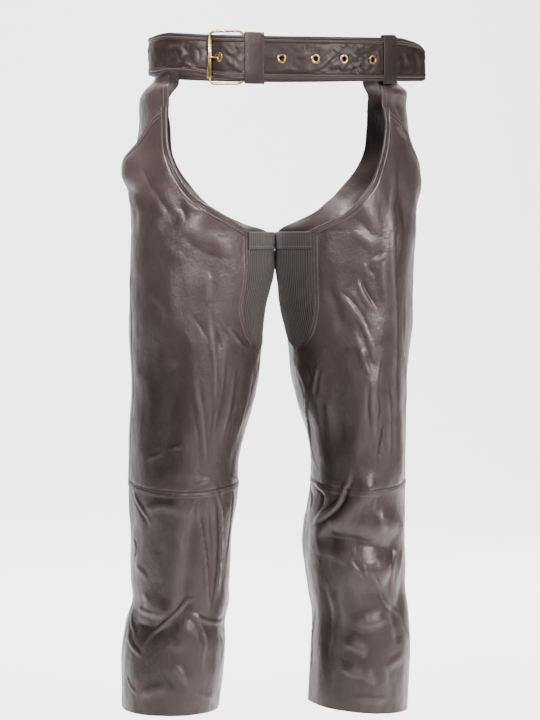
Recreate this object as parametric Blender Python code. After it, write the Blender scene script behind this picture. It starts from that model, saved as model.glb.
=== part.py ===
"""Leather chaps as worn: two hollow legs, ribbed stretch panels, and a buckled waist belt.

Sizes are in millimetres and are scaled to metres when a mesh is made. The origin is the middle of the waist
ring at the belt's mid-height. The front faces -Y and the wearer's right leg is at -X.
A leg's surface is addressed by its turn round the leg (0 front, 90 outer side, 180 back, 270 inner side)
and its height.
"""

import math

import bmesh
import bpy
import numpy as np
from mathutils import Vector

MM = 0.001

# Leather and seams
WALL = 1.5
SEAM_GAP = 0.3
BAND_WALL = 1.3
BAND_WIDTH = 12.0
COLUMN_STEP = 23.0
SIDES = {"right": -1, "left": 1}

# Belt
BELT_WIDTH = 64.0
BELT_WALL = 3.0
BELT_LIFT = 3.5
BELT_STEP = 14.0
BELT_SEAM = 0.52
WAIST_HALF_WIDTH = 183.0
WAIST_HALF_DEPTH = 117.0
WAIST_CENTRE_X = 6.0
BELT_LEVEL = 0.8
FRONT_DIP = 14.8
LEFT_DIP_SPREAD = 0.65

# Heights of the leg's main lines
LEG_TOP = -19.0
BELOW_BELT = -44.0
HIP_END = -170.0
CROTCH = -262.0
LEVEL_START = -205.0
KNEE = -630.0
KNEE_DIP = 12.0
STRETCH_BOTTOM = -434.0

# The body above the crotch: height, half width, half depth, centre x, centre y
HIP_SECTIONS = np.array([
    (-18, 182.8, 116.8, 6.0, 0),
    (-44, 182.8, 116.8, 6.0, 0),
    (-52, 190, 120, 4.5, 0),
    (-64, 196, 122, 2.0, 1),
    (-100, 202, 126, 4.0, 2),
    (-150, 207, 130, 4.0, 4),
    (-200, 214, 130, 4.0, 5),
    (-262, 214, 126, 2.5, 5),
], float)

# Each leg: height, outer side, inner side (both from the middle plane), half depth, centre y
LEG_SECTIONS = {
    "right": np.array([
        (-262, 211, 1, 107, 4),
        (-334, 213, 2, 104, 2),
        (-370, 212, 10, 101, 1),
        (-424, 213, 16, 98, 0),
        (-514, 211, 28, 95, -2),
        (-550, 214, 38, 92, -3),
        (-600, 216, 50, 90, -4),
        (-650, 216, 53, 88, -4),
        (-700, 214, 61, 86, -1),
        (-784, 213, 64, 82, 5),
        (-815, 211, 65, 80, 8),
        (-845, 220, 70, 82, 9),
        (-875, 225, 69, 84, 10),
        (-978, 227, 79, 82, 14),
    ], float),
    "left": np.array([
        (-262, 218, 7.5, 107, 4),
        (-334, 213, 10, 104, 2),
        (-370, 212, 13, 101, 1),
        (-424, 209, 24, 98, 0),
        (-478, 204, 30, 96, -1),
        (-514, 203, 37, 94, -2),
        (-560, 201, 52, 91, -3),
        (-640, 200, 57, 88, -4),
        (-676, 200, 52, 87, -2),
        (-730, 202, 48, 85, 1),
        (-770, 203, 51, 84, 4),
        (-802, 203, 56, 82, 7),
        (-838, 208, 62, 82, 9),
        (-874, 211, 61, 84, 10),
        (-978, 209, 55, 82, 14),
    ], float),
}

# Front edge of the seat opening above the crotch: height, distance from the middle plane
FRONT_EDGE = {
    "right": np.array([
        (-19, 152), (-46, 156), (-70, 159), (-105, 160), (-140, 158), (-175, 147),
        (-193, 137), (-210, 123), (-228, 96), (-245, 68), (-262, 43),
    ], float),
    "left": np.array([
        (-19, 143), (-46, 148), (-70, 154), (-105, 157), (-140, 153), (-175, 141),
        (-193, 133), (-210, 120), (-228, 104), (-245, 77), (-262, 42),
    ], float),
}

# Back edge of the seat opening: height, turn
BACK_EDGE = np.array([
    (-19, 129), (-60, 129), (-105, 132), (-150, 136), (-185, 146), (-215, 165),
    (-235, 188), (-245, 208), (-252, 226), (-257, 242), (-262, 257),
], float)

# Stretch panel below the crotch: height, turn of its front edge, turn of its back edge
STRETCH_EDGES = np.array([
    (-262, -36, -103), (-320, -36, -103), (-370, -36, -103), (-392, -40, -99),
    (-412, -47, -92), (-426, -56, -83), (-434, -69.5, -69.5),
], float)

# Inner leg seam from the tip of the stretch panel to the hem: height, turn
INSEAM = np.array([(-434, -69.5), (-520, -82), (-633, -89), (-800, -90), (-978, -90)], float)

# Outer side seam: height, turn
SIDE_SEAM = {
    "right": np.array([(-19, 96), (-172, 94), (-260, 86), (-350, 80), (-640, 79), (-978, 82)], float),
    "left": np.array([(-19, 96), (-172, 94), (-260, 92), (-350, 90), (-640, 88), (-978, 88)], float),
}

# Pocket mouth: share of the way from the front edge to the side seam, height
POCKET_MOUTH = np.array([(0.0, -80), (0.3, -98), (0.6, -127), (0.85, -156), (1.0, -173)], float)
POCKET_TUCK = 16.0
FACING_SINK = 2.6
FACING_CLEARANCE = 0.5

# Large folds on each leg: start height, start turn, end height, end turn, half width, rise outward
FOLDS = {
    "right": [
        (-165, 84, -178, 86, 26, 17.0),
        (-190, 96, -202, 80, 12, -4.0),
        (-160, 40, -250, 30, 16, -3.5),
        (-430, 4, -610, 0, 20, 3.5),
        (-470, 24, -600, 22, 18, -3.0),
        (-665, 8, -820, 18, 18, 4.5),
        (-690, -8, -820, 2, 14, -4.0),
        (-812, 34, -868, -24, 20, 6.0),
        (-845, 60, -838, 10, 18, -7.0),
        (-838, 150, -828, 215, 20, -6.0),
        (-660, 150, -700, 205, 22, -5.0),
        (-300, 150, -420, 170, 26, 4.0),
    ],
    "left": [
        (-168, 84, -186, 86, 26, 7.0),
        (-280, 42, -610, 48, 22, 5.0),
        (-340, 8, -450, 14, 22, -4.0),
        (-640, 2, -690, -30, 16, 7.0),
        (-712, -34, -728, 40, 19, -10.0),
        (-690, 24, -704, 52, 20, 5.0),
        (-760, -10, -765, 26, 16, 5.0),
        (-790, 34, -860, 44, 18, -5.0),
        (-828, 46, -800, 60, 16, -4.0),
        (-712, 150, -700, 210, 22, -6.0),
        (-820, 160, -835, 200, 22, -5.0),
        (-300, 150, -420, 170, 26, 4.0),
    ],
}
TURN_LENGTH = 1.65

# Heights of the mesh rows between the crotch area and the knee, and from the knee to the hem
UPPER_LEVELS = [-205, -224, -240, -250, -257, -262, -292, -330, -370, -392, -412, -426, -434,
                -465, -497, -530, -563, -597]
LOWER_LEVELS = [-658, -680, -698, -714, -730, -750, -775, -800, -818, -836, -856, -880, -912, -942]
HEM = {"right": (-976, 0.0), "left": (-978, -7.0)}

# Ribs of the stretch panel
RIB_RISE = 0.8
RIB_BASE = 1.0
COLUMNS_PER_BAY = 6
STRETCH_BAYS = 11
HEM_BAND_HEIGHT = 26.0

# Buckle, measured along the belt from its own middle
BUCKLE_ALONG = -83.0
BUCKLE_HALF_LENGTH = 24.0
BUCKLE_HALF_HEIGHT = 37.5
BUCKLE_CORNER = 8.0
BUCKLE_WIRE = 2.0
ROLLER_LIFT = 8.1
HEEL_LIFT = 6.4
ROLLER_OUTER = 3.9
ROLLER_INNER = 2.5
ROLLER_END_GAP = 0.5
PRONG_RADIUS = 1.2
PRONG_SLOT = 4.6
LOOP_HALF_WALL = 0.9
LOOP_STEP_HALF_WALL = 1.2
SLOT_COLUMNS = (3, 11)

# Strap past the buckle: along the belt from the buckle, lift of the strap's middle
STRAP_LIFTS = np.array([
    (-400, 3.5), (-60, 3.5), (-40, 2.6), (-28, 1.6), (-20, 2.2), (-14, 4.2), (-8, 6.6), (0, 8.6), (10, 10.3),
    (20, 12.3), (27, 13.0), (36, 12.7), (50, 11.5), (66, 9.8), (95, 8.0), (130, 7.9), (400, 7.9),
], float)

# The strap's bends at the buckle, along the belt from the buckle
STRAP_AT_BUCKLE = [-44, -33, -24, -17, -10, -3, 5, 14, 24, 34, 46, 60]

# End of the buckle half of the belt, folded round the heel bar: along, lift
HEEL_LOOP = [
    (58, 7.3), (46, 7.8), (36, 9.0), (30, 9.9), (25.5, 10.0), (22.6, 9.5), (20.9, 7.9), (20.5, 6.2),
    (21.0, 4.6), (22.7, 3.2), (25.5, 2.9), (31, 3.0), (40, 3.2), (50, 3.4), (64, 3.5),
]

# Prong from the heel bar up through the eyelet onto the roller: along, lift
PRONG_PATH = [
    (21.2, 5.6), (16, 5.2), (8, 4.2), (0, 3.3), (-4, 3.1), (-6.4, 3.6), (-8.4, 5.2), (-10.6, 8.0),
    (-13, 10.4), (-16.5, 12.4), (-20, 13.5), (-25.5, 13.6),
]

# Eyelets, keepers and the strap's free end, along the belt from its front middle
EYELET_ALONG = [-93.0, -5.5, 42.5, 85.0, 132.0]
EYELET_HOLE = 3.5
EYELET_BARREL = 4.0
EYELET_FLANGE = 7.2
EYELET_CREST = 5.1
EYELET_STAND = 0.6
EYELET_INNER_RISE = 1.0
EYELET_CREST_RISE = 1.5
EYELET_OUTER_RISE = 0.9
EYELET_CUT = 4.6
EYELET_SIDES = 14
ROUND_SIDES = 14
KEEPER_WALL = 1.3
KEEPER_FRONT_GAP = 0.8
KEEPER_OUTER_CORNER = 2.0
KEEPER_INNER_CORNER = 0.5
# start and end along the belt, half height, lift of its back from the waist ring
KEEPERS = {"first": (-56.5, -29.5, 37.0, 0.4), "second": (153.0, 180.0, 36.0, 1.7)}
# The buckle half stands off a little where the second keeper passes behind it: along, lift
BUCKLE_HALF_LIFTS = np.array([(-20, 3.5), (128, 3.5), (148, 4.9), (186, 4.9), (206, 3.5), (600, 3.5)], float)
STRAP_LEAVES = 140.0
TAIL_BEND = 0.0009
# How far the belt's top and bottom edges reach, as a share of its half width, by length along the belt.
# It is pinched a little at the wearer's right hip, and the free end's top corner is cut on a slant.
HIP_TOP = np.array([(-330, 1.0), (-290, 0.87), (-250, 0.74), (-222, 0.75), (-203, 0.85), (-190, 0.93), (-176, 1.0)])
HIP_LOW = np.array([(-206, 1.0), (-190, 0.91), (-178, 0.79), (-163, 0.72), (-140, 0.75), (-104, 0.88), (-66, 1.0)])
TAIL_TOP = np.array([(190, 1.0), (208, 0.91), (225, 0.81), (236, 0.70), (244, 0.57), (248.5, 0.42)])
TAIL_LOW = np.array([(238, 1.0), (244, 0.985), (248.5, 0.93)])

# Belt profile: height from the middle, rise of the outer face as a share of the relief
BELT_RELIEF = 0.33
BELT_PROFILE = np.array([
    (-1.0, -0.9), (-0.8, 0.9), (-0.6, -0.3), (0.0, 0.6), (0.6, -0.3), (0.8, 0.9), (1.0, -0.9),
], float)


def material(name, colour, roughness, metallic=0.0):
    """A Principled material, made once for each object."""
    made = bpy.data.materials.new(name)
    made.use_nodes = True
    shader = made.node_tree.nodes["Principled BSDF"]
    shader.inputs["Base Color"].default_value = (*colour, 1.0)
    shader.inputs["Roughness"].default_value = roughness
    shader.inputs["Metallic"].default_value = metallic
    return made


LEATHER = ((0.075, 0.052, 0.047), 0.42)
BELT_LEATHER = ((0.06, 0.042, 0.038), 0.45)
STRETCH = ((0.045, 0.04, 0.036), 0.8)
BRASS = ((0.42, 0.3, 0.13), 0.35, 1.0)


def add_solid(name, points, faces, look, smooth=False):
    """One closed body from points in millimetres, with its faces turned outward."""
    mesh = bpy.data.meshes.new(name)
    mesh.from_pydata([tuple(p) for p in np.asarray(points) * MM], [], faces)
    body = bmesh.new()
    body.from_mesh(mesh)
    bmesh.ops.recalc_face_normals(body, faces=body.faces)
    if body.calc_volume(signed=True) < 0:
        bmesh.ops.reverse_faces(body, faces=body.faces)
    body.to_mesh(mesh)
    body.free()
    if smooth:
        mesh.shade_smooth()
        mesh.set_sharp_from_angle(angle=math.radians(35))
    mesh.materials.append(material(name, *look))
    made = bpy.data.objects.new(name, mesh)
    bpy.context.scene.collection.objects.link(made)
    return made


def read_table(rows, at):
    """The other columns of a table at some values of its first, on a smooth curve through the rows."""
    rows = rows[np.argsort(rows[:, 0])]
    key, values = rows[:, 0], rows[:, 1:]
    slopes = np.gradient(values, key, axis=0)
    at = np.clip(np.asarray(at, float), key[0], key[-1])
    low = np.clip(np.searchsorted(key, at, side="right") - 1, 0, len(key) - 2)
    span = key[low + 1] - key[low]
    t = ((at - key[low]) / span)[..., None]
    span = span[..., None]
    return (
        (2 * t**3 - 3 * t**2 + 1) * values[low]
        + (t**3 - 2 * t**2 + t) * span * slopes[low]
        + (3 * t**2 - 2 * t**3) * values[low + 1]
        + (t**3 - t**2) * span * slopes[low + 1]
    )


def straight_table(rows, at):
    """The second column of a table at some values of its first, on straight lines between the rows."""
    rows = rows[np.argsort(rows[:, 0])]
    return np.interp(at, rows[:, 0], rows[:, 1])


def smooth_step(share):
    share = np.clip(share, 0.0, 1.0)
    return share * share * (3 - 2 * share)


# ---- The surface of a leg ----

def plain_surface(side, turn, height):
    """Points on the inside of a leg without its folds."""
    turn, height = np.broadcast_arrays(np.asarray(turn, float), np.asarray(height, float))
    sign = SIDES[side]
    angle = np.radians(turn)
    hip = read_table(HIP_SECTIONS, height)
    leg = read_table(LEG_SECTIONS[side], height)
    hip_x = sign * hip[..., 0] * np.sin(angle) + hip[..., 2]
    hip_y = hip[..., 3] - hip[..., 1] * np.cos(angle)
    half_width = (leg[..., 0] - leg[..., 1]) / 2 - WALL
    leg_x = sign * ((leg[..., 0] + leg[..., 1]) / 2 + half_width * np.sin(angle))
    leg_y = leg[..., 3] - (leg[..., 2] - WALL) * np.cos(angle)
    share = smooth_step((HIP_END - height) / (HIP_END - CROTCH))
    return np.stack([hip_x + (leg_x - hip_x) * share, hip_y + (leg_y - hip_y) * share, height], axis=-1)


def outward(side, turn, height):
    """Unit normals of the plain surface, away from the leg."""
    step_turn, step_height = 0.5, 1.0
    along = plain_surface(side, turn + step_turn, height) - plain_surface(side, turn - step_turn, height)
    up = plain_surface(side, turn, height + step_height) - plain_surface(side, turn, height - step_height)
    normal = np.cross(along, up) * SIDES[side]
    return normal / np.linalg.norm(normal, axis=-1, keepdims=True)


def fold_rise(side, turn, height):
    """How far the folds push the leather outward."""
    rise = np.zeros(np.shape(turn))
    wrapped = np.where(turn < -120, turn + 360, turn)
    for z0, t0, z1, t1, width, amount in FOLDS[side]:
        run = np.array([(t1 - t0) * TURN_LENGTH, z1 - z0])
        across = np.stack([(wrapped - t0) * TURN_LENGTH, height - z0], axis=-1)
        share = across @ run / (run @ run)
        nearest = np.clip(share, 0, 1)[..., None] * run
        away = np.linalg.norm(across - nearest, axis=-1)
        rise += amount * np.exp(-((away / width) ** 2))
    return rise


def leg_grid(side, turn, height, rise=True):
    """Inner points and outward normals for a grid of turns and heights."""
    turn = np.asarray(turn, float)
    height = np.asarray(height, float)
    points = plain_surface(side, turn, height)
    normals = outward(side, turn, height)
    if rise:
        points = points + normals * fold_rise(side, turn, height)[..., None]
    return points, normals


def turn_of_front_edge(side, height):
    """The turn at which the front edge of the seat opening lies, above the crotch."""
    wanted = read_table(FRONT_EDGE[side], height)[..., 0]
    low = np.full(np.shape(wanted), -75.0)
    high = np.full(np.shape(wanted), 88.0)
    for _ in range(40):
        middle = (low + high) / 2
        inside = SIDES[side] * plain_surface(side, middle, height)[..., 0] < wanted
        low = np.where(inside, middle, low)
        high = np.where(inside, high, middle)
    return (low + high) / 2


def degrees_for(side, turn, height, length):
    """How much turn covers a length on the leg's surface."""
    step = 1.0
    move = plain_surface(side, turn + step, height) - plain_surface(side, turn, height)
    return length * step / np.linalg.norm(move, axis=-1)


def front_limit(side, height):
    """Turn of the front panels' inner edge: seat opening, stretch panel, then inner seam."""
    above = turn_of_front_edge(side, np.maximum(height, CROTCH))
    stretch = straight_table(STRETCH_EDGES[:, [0, 1]], height)
    seam = read_table(INSEAM, height)[..., 0]
    edge = np.where(height > STRETCH_BOTTOM, stretch, seam)
    edge = edge + degrees_for(side, edge, np.minimum(height, CROTCH), SEAM_GAP / 2)
    return np.where(height > CROTCH, above, edge)


def back_limit(side, height):
    """Turn of the back panels' inner edge."""
    above = read_table(BACK_EDGE, height)[..., 0]
    stretch = straight_table(STRETCH_EDGES[:, [0, 2]], height) + 360
    seam = read_table(INSEAM, height)[..., 0] + 360
    edge = np.where(height > STRETCH_BOTTOM, stretch, seam)
    edge = edge - degrees_for(side, edge, np.minimum(height, CROTCH), SEAM_GAP / 2)
    return np.where(height > CROTCH, above, edge)


def side_limit(side, height, toward):
    """Turn of the side seam, half a seam gap toward the front (-1) or the back (1)."""
    seam = read_table(SIDE_SEAM[side], height)[..., 0]
    return seam + toward * degrees_for(side, seam, height, SEAM_GAP / 2)


def knee_height(turn):
    return KNEE - KNEE_DIP * np.cos(np.radians(turn))


def hem_height(side, turn):
    middle, slant = HEM[side]
    return middle + slant * np.sin(np.radians(turn))


# ---- Walls from grids ----

def wall_mesh(inner, outer):
    """Points and triangles of a closed wall between two grids of points of the same size."""
    rows, columns = inner.shape[:2]
    points = np.concatenate([inner.reshape(-1, 3), outer.reshape(-1, 3)])
    shift = rows * columns

    def at(row, column, layer=0):
        return layer * shift + row * columns + column

    faces = []
    for row in range(rows - 1):
        for column in range(columns - 1):
            a, b = (row, column), (row, column + 1)
            c, d = (row + 1, column + 1), (row + 1, column)
            faces += [(at(*a), at(*c), at(*b)), (at(*a), at(*d), at(*c))]
            faces += [(at(*a, 1), at(*b, 1), at(*c, 1)), (at(*a, 1), at(*c, 1), at(*d, 1))]
    rim = [(0, column) for column in range(columns)]
    rim += [(row, columns - 1) for row in range(1, rows)]
    rim += [(rows - 1, column) for column in range(columns - 2, -1, -1)]
    rim += [(row, 0) for row in range(rows - 2, 0, -1)]
    for here, there in zip(rim, rim[1:] + rim[:1]):
        faces += [(at(*here), at(*there), at(*there, 1)), (at(*here), at(*there, 1), at(*here, 1))]
    return points, faces


def leather_wall(name, points, normals, low, high, look):
    """A wall from one offset to another along the normals. Offsets are numbers or one for each column."""
    low = np.broadcast_to(low, points.shape[:2])[..., None]
    high = np.broadcast_to(high, points.shape[:2])[..., None]
    return add_solid(name, *wall_mesh(points + normals * low, points + normals * high), look)


def panel_turns(side, start, end, heights, count, band_at_start):
    """Turns of a panel's grid. The first two steps are half an edge band wide each where it has one."""
    start, end = start[:, None], end[:, None]
    direction = np.sign(end - start)
    if not band_at_start:
        return start + (end - start) * np.linspace(0, 1, count)[None, :]
    half_band = degrees_for(side, start, heights[:, :1], BAND_WIDTH / 2) * direction
    rest = start + 2 * half_band
    share = np.linspace(0, 1, count - 2)[None, :]
    return np.concatenate([start, start + half_band, rest + (end - rest) * share], axis=1)


def edge_band(name, points, normals, rows, columns, look=LEATHER):
    """A turned and stitched band on a panel, made from the panel's own points."""
    strip = points[rows, columns]
    across = normals[rows, columns]
    rise = BAND_WALL * np.array([0.75, 1.0, 0.75])[: strip.shape[1]]
    base = WALL + SEAM_GAP
    return leather_wall(name, strip, across, base, base + rise[None, :], look)


def count_for(length):
    return max(3, int(round(length / COLUMN_STEP)) + 1)


# ---- Leg pieces ----

def mouth_height(share):
    return read_table(POCKET_MOUTH, share)[..., 0]


def build_front_upper(side):
    """The front thigh panel, from the pocket mouth to the knee, with its edge bands."""
    count = count_for(240) + 2
    share = np.linspace(0, 1, count)
    steps = np.linspace(0, 1, 6)[:-1, None]
    slanted = mouth_height(share)[None, :] * (1 - steps) + LEVEL_START * steps
    level = np.repeat(np.array(UPPER_LEVELS, float)[:, None], count, axis=1)
    heights = np.concatenate([slanted, level, np.full((1, count), KNEE)])
    heights = fit_knee(heights, side, front=True)
    start = front_limit(side, heights[:, 0])
    end = side_limit(side, heights[:, -1], -1)
    turns = panel_turns(side, start, end, heights, count, True)
    heights[-1] = knee_height(turns[-1]) + SEAM_GAP / 2
    points, normals = leg_grid(side, turns, heights)
    leather_wall(f"front_upper_{side}", points, normals, 0, WALL, LEATHER)
    crotch_row = int(np.argmin(np.abs(heights[:, 0] - CROTCH)))
    edge_band(f"front_edge_band_{side}", points, normals, slice(1, crotch_row + 1), slice(0, 3))
    edge_band(f"pocket_band_{side}", points.swapaxes(0, 1), normals.swapaxes(0, 1), slice(2, count), slice(0, 2))


def fit_knee(heights, side, front):
    """Lets the rows near the knee follow the slanted knee seam."""
    columns = heights.shape[1]
    if front:
        turns = np.linspace(front_limit(side, np.array([KNEE]))[0], side_limit(side, KNEE, -1), columns)
    else:
        turns = np.linspace(side_limit(side, KNEE, 1), back_limit(side, np.array([KNEE]))[0], columns)
    share = smooth_step((heights - STRETCH_BOTTOM) / (KNEE - STRETCH_BOTTOM))
    return heights + (knee_height(turns) - KNEE)[None, :] * share


def build_back_upper(side):
    """The back thigh panel, from the belt to the knee, with the band along the seat opening."""
    count = count_for(260) + 2
    hip_levels = [LEG_TOP, BELOW_BELT, -54, -75, -105, -135, -160, -183]
    levels = np.array(hip_levels + UPPER_LEVELS + [KNEE], float)
    heights = np.repeat(levels[:, None], count, axis=1)
    heights = fit_knee(heights, side, front=False)
    start = back_limit(side, heights[:, -1])
    end = side_limit(side, heights[:, 0], 1)
    turns = panel_turns(side, start, end, heights[:, ::-1], count, True)[:, ::-1]
    heights[-1] = knee_height(turns[-1]) + SEAM_GAP / 2
    points, normals = leg_grid(side, turns, heights)
    leather_wall(f"back_upper_{side}", points, normals, 0, WALL, LEATHER)
    crotch_row = int(np.argmin(np.abs(levels - CROTCH)))
    edge_band(f"back_edge_band_{side}", points, normals, slice(1, crotch_row + 1), slice(count - 3, count))


def build_lower(side, name, start_of, end_of, count):
    """A panel from the knee seam to the hem."""
    levels = np.array([KNEE] + LOWER_LEVELS + [HEM[side][0]], float)
    start = start_of(levels)
    end = end_of(levels)
    turns = start[:, None] + (end - start)[:, None] * np.linspace(0, 1, count)[None, :]
    heights = np.repeat(levels[:, None], count, axis=1)
    knee = knee_height(turns) - KNEE
    hem = hem_height(side, turns) - HEM[side][0]
    below = smooth_step((levels - KNEE) / (HEM[side][0] - KNEE))[:, None]
    heights = heights + knee * (1 - below) + hem * below
    heights[0] -= SEAM_GAP / 2
    points, normals = leg_grid(side, turns, heights)
    leather_wall(name, points, normals, 0, WALL, LEATHER)


def build_facing(side):
    """The pocket's facing, from the belt to just below the pocket mouth, tucked in behind the front."""
    count = count_for(110) + 1
    share = np.linspace(0, 1, count)
    rows = np.linspace(0, 1, 6)[:, None]
    bottom = mouth_height(share)[None, :] - POCKET_TUCK
    heights = BELOW_BELT * (1 - rows) + bottom * rows
    heights = np.concatenate([np.full((1, count), LEG_TOP), heights])
    rows = np.concatenate([[[0.0]], rows])
    start = turn_of_front_edge(side, heights[:, 0])
    end = side_limit(side, heights[:, -1], -1)
    end = end - degrees_for(side, end, heights[:, -1], FACING_CLEARANCE)
    turns = start[:, None] + (end - start)[:, None] * share[None, :]
    points, normals = leg_grid(side, turns, heights, rise=False)
    sink = -FACING_SINK * smooth_step(rows / 0.6) * np.ones((1, count))
    leather_wall(f"pocket_facing_{side}", points, normals, sink, sink + WALL, LEATHER)


def build_stretch(side):
    """The ribbed stretch panel at the inner thigh and the folded band along its top."""
    top = CROTCH
    front = STRETCH_EDGES[:, [1, 0]]
    back = STRETCH_EDGES[::-1][:, [2, 0]]
    outline = np.concatenate([front[3:], back[1:-3]])
    outline = outline[np.argsort(outline[:, 0])]
    first, last = STRETCH_EDGES[0, 2], STRETCH_EDGES[0, 1]
    gap = degrees_for(side, -70.0, CROTCH, SEAM_GAP / 2)
    fine = np.linspace(first + gap, last - gap, COLUMNS_PER_BAY * STRETCH_BAYS + 1)
    corners = np.concatenate([[first, last], outline[:, 0]])
    lows = np.concatenate([[STRETCH_EDGES[2, 0]] * 2, outline[:, 1]])
    order = np.argsort(corners)
    bottom = np.interp(fine, corners[order], lows[order]) + SEAM_GAP
    rows = np.linspace(0, 1, 7)[:, None]
    heights = top * (1 - rows) + bottom[None, :] * rows
    turns = np.repeat(fine[None, :], 7, axis=0)
    points, normals = leg_grid(side, turns, heights)
    crest = RIB_BASE + RIB_RISE * (np.arange(len(fine)) % 2)
    outer = points + normals * crest[None, :, None]
    inner = points[:, ::COLUMNS_PER_BAY]
    add_solid(f"stretch_panel_{side}", *ribbed_mesh(inner, outer), STRETCH)
    coarse = fine[::COLUMNS_PER_BAY]
    band_rows = np.linspace(0, 1, 3)[:, None]
    band_heights = top - HEM_BAND_HEIGHT * band_rows + 0 * coarse[None, :]
    band_points, band_normals = leg_grid(side, np.repeat(coarse[None, :], 3, axis=0), band_heights)
    low = RIB_BASE + RIB_RISE + SEAM_GAP + 0.25
    leather_wall(f"stretch_hem_{side}", band_points, band_normals, low, low + BAND_WALL, STRETCH)


def ribbed_mesh(inner, outer):
    """A closed wall whose inner grid has one column for each bay of outer columns."""
    rows, coarse = inner.shape[:2]
    fine = outer.shape[1]
    shift = rows * coarse
    points = np.concatenate([inner.reshape(-1, 3), outer.reshape(-1, 3)])
    faces = []
    for row in range(rows - 1):
        for column in range(coarse - 1):
            a = row * coarse + column
            faces += [(a, a + coarse + 1, a + 1), (a, a + coarse, a + coarse + 1)]
        for column in range(fine - 1):
            a = shift + row * fine + column
            faces += [(a, a + 1, a + fine + 1), (a, a + fine + 1, a + fine)]
        for column, far in ((0, 0), (coarse - 1, fine - 1)):
            a, b = row * coarse + column, (row + 1) * coarse + column
            c, d = shift + row * fine + far, shift + (row + 1) * fine + far
            faces += [(a, d, b), (a, c, d)] if column == 0 else [(a, b, d), (a, d, c)]
    for row in (0, rows - 1):
        for bay in range(coarse - 1):
            a = row * coarse + bay
            c = shift + row * fine + bay * COLUMNS_PER_BAY
            fan = [(a, c + step + 1, c + step) for step in range(COLUMNS_PER_BAY)]
            fan.append((a, a + 1, c + COLUMNS_PER_BAY))
            faces += fan if row == 0 else [face[::-1] for face in fan]
    return points, faces


def build_leg(side):
    build_facing(side)
    build_front_upper(side)
    build_back_upper(side)
    build_stretch(side)
    build_lower(side, f"front_lower_{side}", lambda z: front_limit(side, z), lambda z: side_limit(side, z, -1),
                count_for(250))
    build_lower(side, f"back_lower_{side}", lambda z: side_limit(side, z, 1), lambda z: back_limit(side, z),
                count_for(270))


# ---- Belt ----

def waist_curve():
    """Points of the waist ring by length from its front middle, positive toward the wearer's left."""
    angle = np.radians(np.linspace(-180, 180, 2881))
    x = WAIST_CENTRE_X + WAIST_HALF_WIDTH * np.sin(angle)
    y = -WAIST_HALF_DEPTH * np.cos(angle)
    length = np.concatenate([[0], np.cumsum(np.hypot(np.diff(x), np.diff(y)))])
    return length - length[len(length) // 2], x, y


WAIST_LENGTH, WAIST_X, WAIST_Y = waist_curve()
HALF_ROUND = WAIST_LENGTH[-1]


def waist_frame(along):
    """Point, direction and outward direction on the waist ring, all level."""
    along = np.asarray(along, float)
    around = (along + HALF_ROUND) % (2 * HALF_ROUND) - HALF_ROUND
    step = 2.0
    point = np.stack([np.interp(around, WAIST_LENGTH, v) for v in (WAIST_X, WAIST_Y)], axis=-1)
    ahead = np.stack([np.interp(around + step, WAIST_LENGTH, v) for v in (WAIST_X, WAIST_Y)], axis=-1)
    behind = np.stack([np.interp(around - step, WAIST_LENGTH, v) for v in (WAIST_X, WAIST_Y)], axis=-1)
    direction = ahead - behind
    direction = direction / np.linalg.norm(direction, axis=-1, keepdims=True)
    out = np.stack([direction[..., 1], -direction[..., 0]], axis=-1)
    return point, direction, out


def belt_middle(place):
    """Height of the belt's middle line: it dips at the front, and further round on the wearer's left."""
    place = np.asarray(place, float)
    turn = np.arctan2((place[..., 0] - WAIST_CENTRE_X) / WAIST_HALF_WIDTH, -place[..., 1] / WAIST_HALF_DEPTH)
    turn = np.where(turn > 0, turn * LEFT_DIP_SPREAD, turn)
    return BELT_LEVEL - FRONT_DIP * np.clip(np.cos(turn), 0, 1)**1.5


def belt_path(along, lift):
    """Level points at a lift from the waist ring."""
    point, _, out = waist_frame(along)
    return point + out * np.asarray(lift, float)[..., None]


def strap_path(along):
    """The strap's middle line. Past the last keeper it runs on nearly straight, off the ring."""
    along = np.asarray(along, float)
    lift = read_table(STRAP_LIFTS, along - BUCKLE_ALONG)[..., 0]
    on_ring = belt_path(along, lift)
    start, direction, out = waist_frame(STRAP_LEAVES)
    start = start + out * read_table(STRAP_LIFTS, np.array(STRAP_LEAVES - BUCKLE_ALONG))[0]
    past = np.maximum(along - STRAP_LEAVES, 0)[..., None]
    free = start + direction * past - out * TAIL_BEND * past**2
    return np.where(past > 0, free, on_ring)


def belt_reach(along):
    """Shares of the half width that the belt's top and bottom edges reach."""
    around = (along + HALF_ROUND) % (2 * HALF_ROUND) - HALF_ROUND
    past_tail = along > TAIL_TOP[-1, 0]
    top = straight_table(HIP_TOP, around) * np.where(past_tail, 1.0, straight_table(TAIL_TOP, along))
    low = straight_table(HIP_LOW, around) * np.where(past_tail, 1.0, straight_table(TAIL_LOW, along))
    return top, low


def band_along(path, half_wall, profile=BELT_PROFILE, reach=(1.0, 1.0)):
    """Inner and outer grids of a belt band along a level path."""
    ahead = np.gradient(path, axis=0)
    ahead /= np.linalg.norm(ahead, axis=1, keepdims=True)
    out = np.stack([ahead[:, 1], -ahead[:, 0]], axis=1)
    half = np.broadcast_to(half_wall, len(path))
    top, low = reach
    inner = np.zeros((len(profile), len(path), 3))
    outer = np.zeros_like(inner)
    for row, (share, rise) in enumerate(profile):
        height = belt_middle(path) + share * BELT_WIDTH / 2 * (top if share > 0 else low)
        inner[row, :, :2] = path - out * half[:, None]
        outer[row, :, :2] = path + out * (half * (1 + BELT_RELIEF * rise))[:, None]
        inner[row, :, 2] = height
        outer[row, :, 2] = height
    return inner, outer


def stations(start, end, step):
    return np.linspace(start, end, max(2, int(round(abs(end - start) / step)) + 1))


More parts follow.
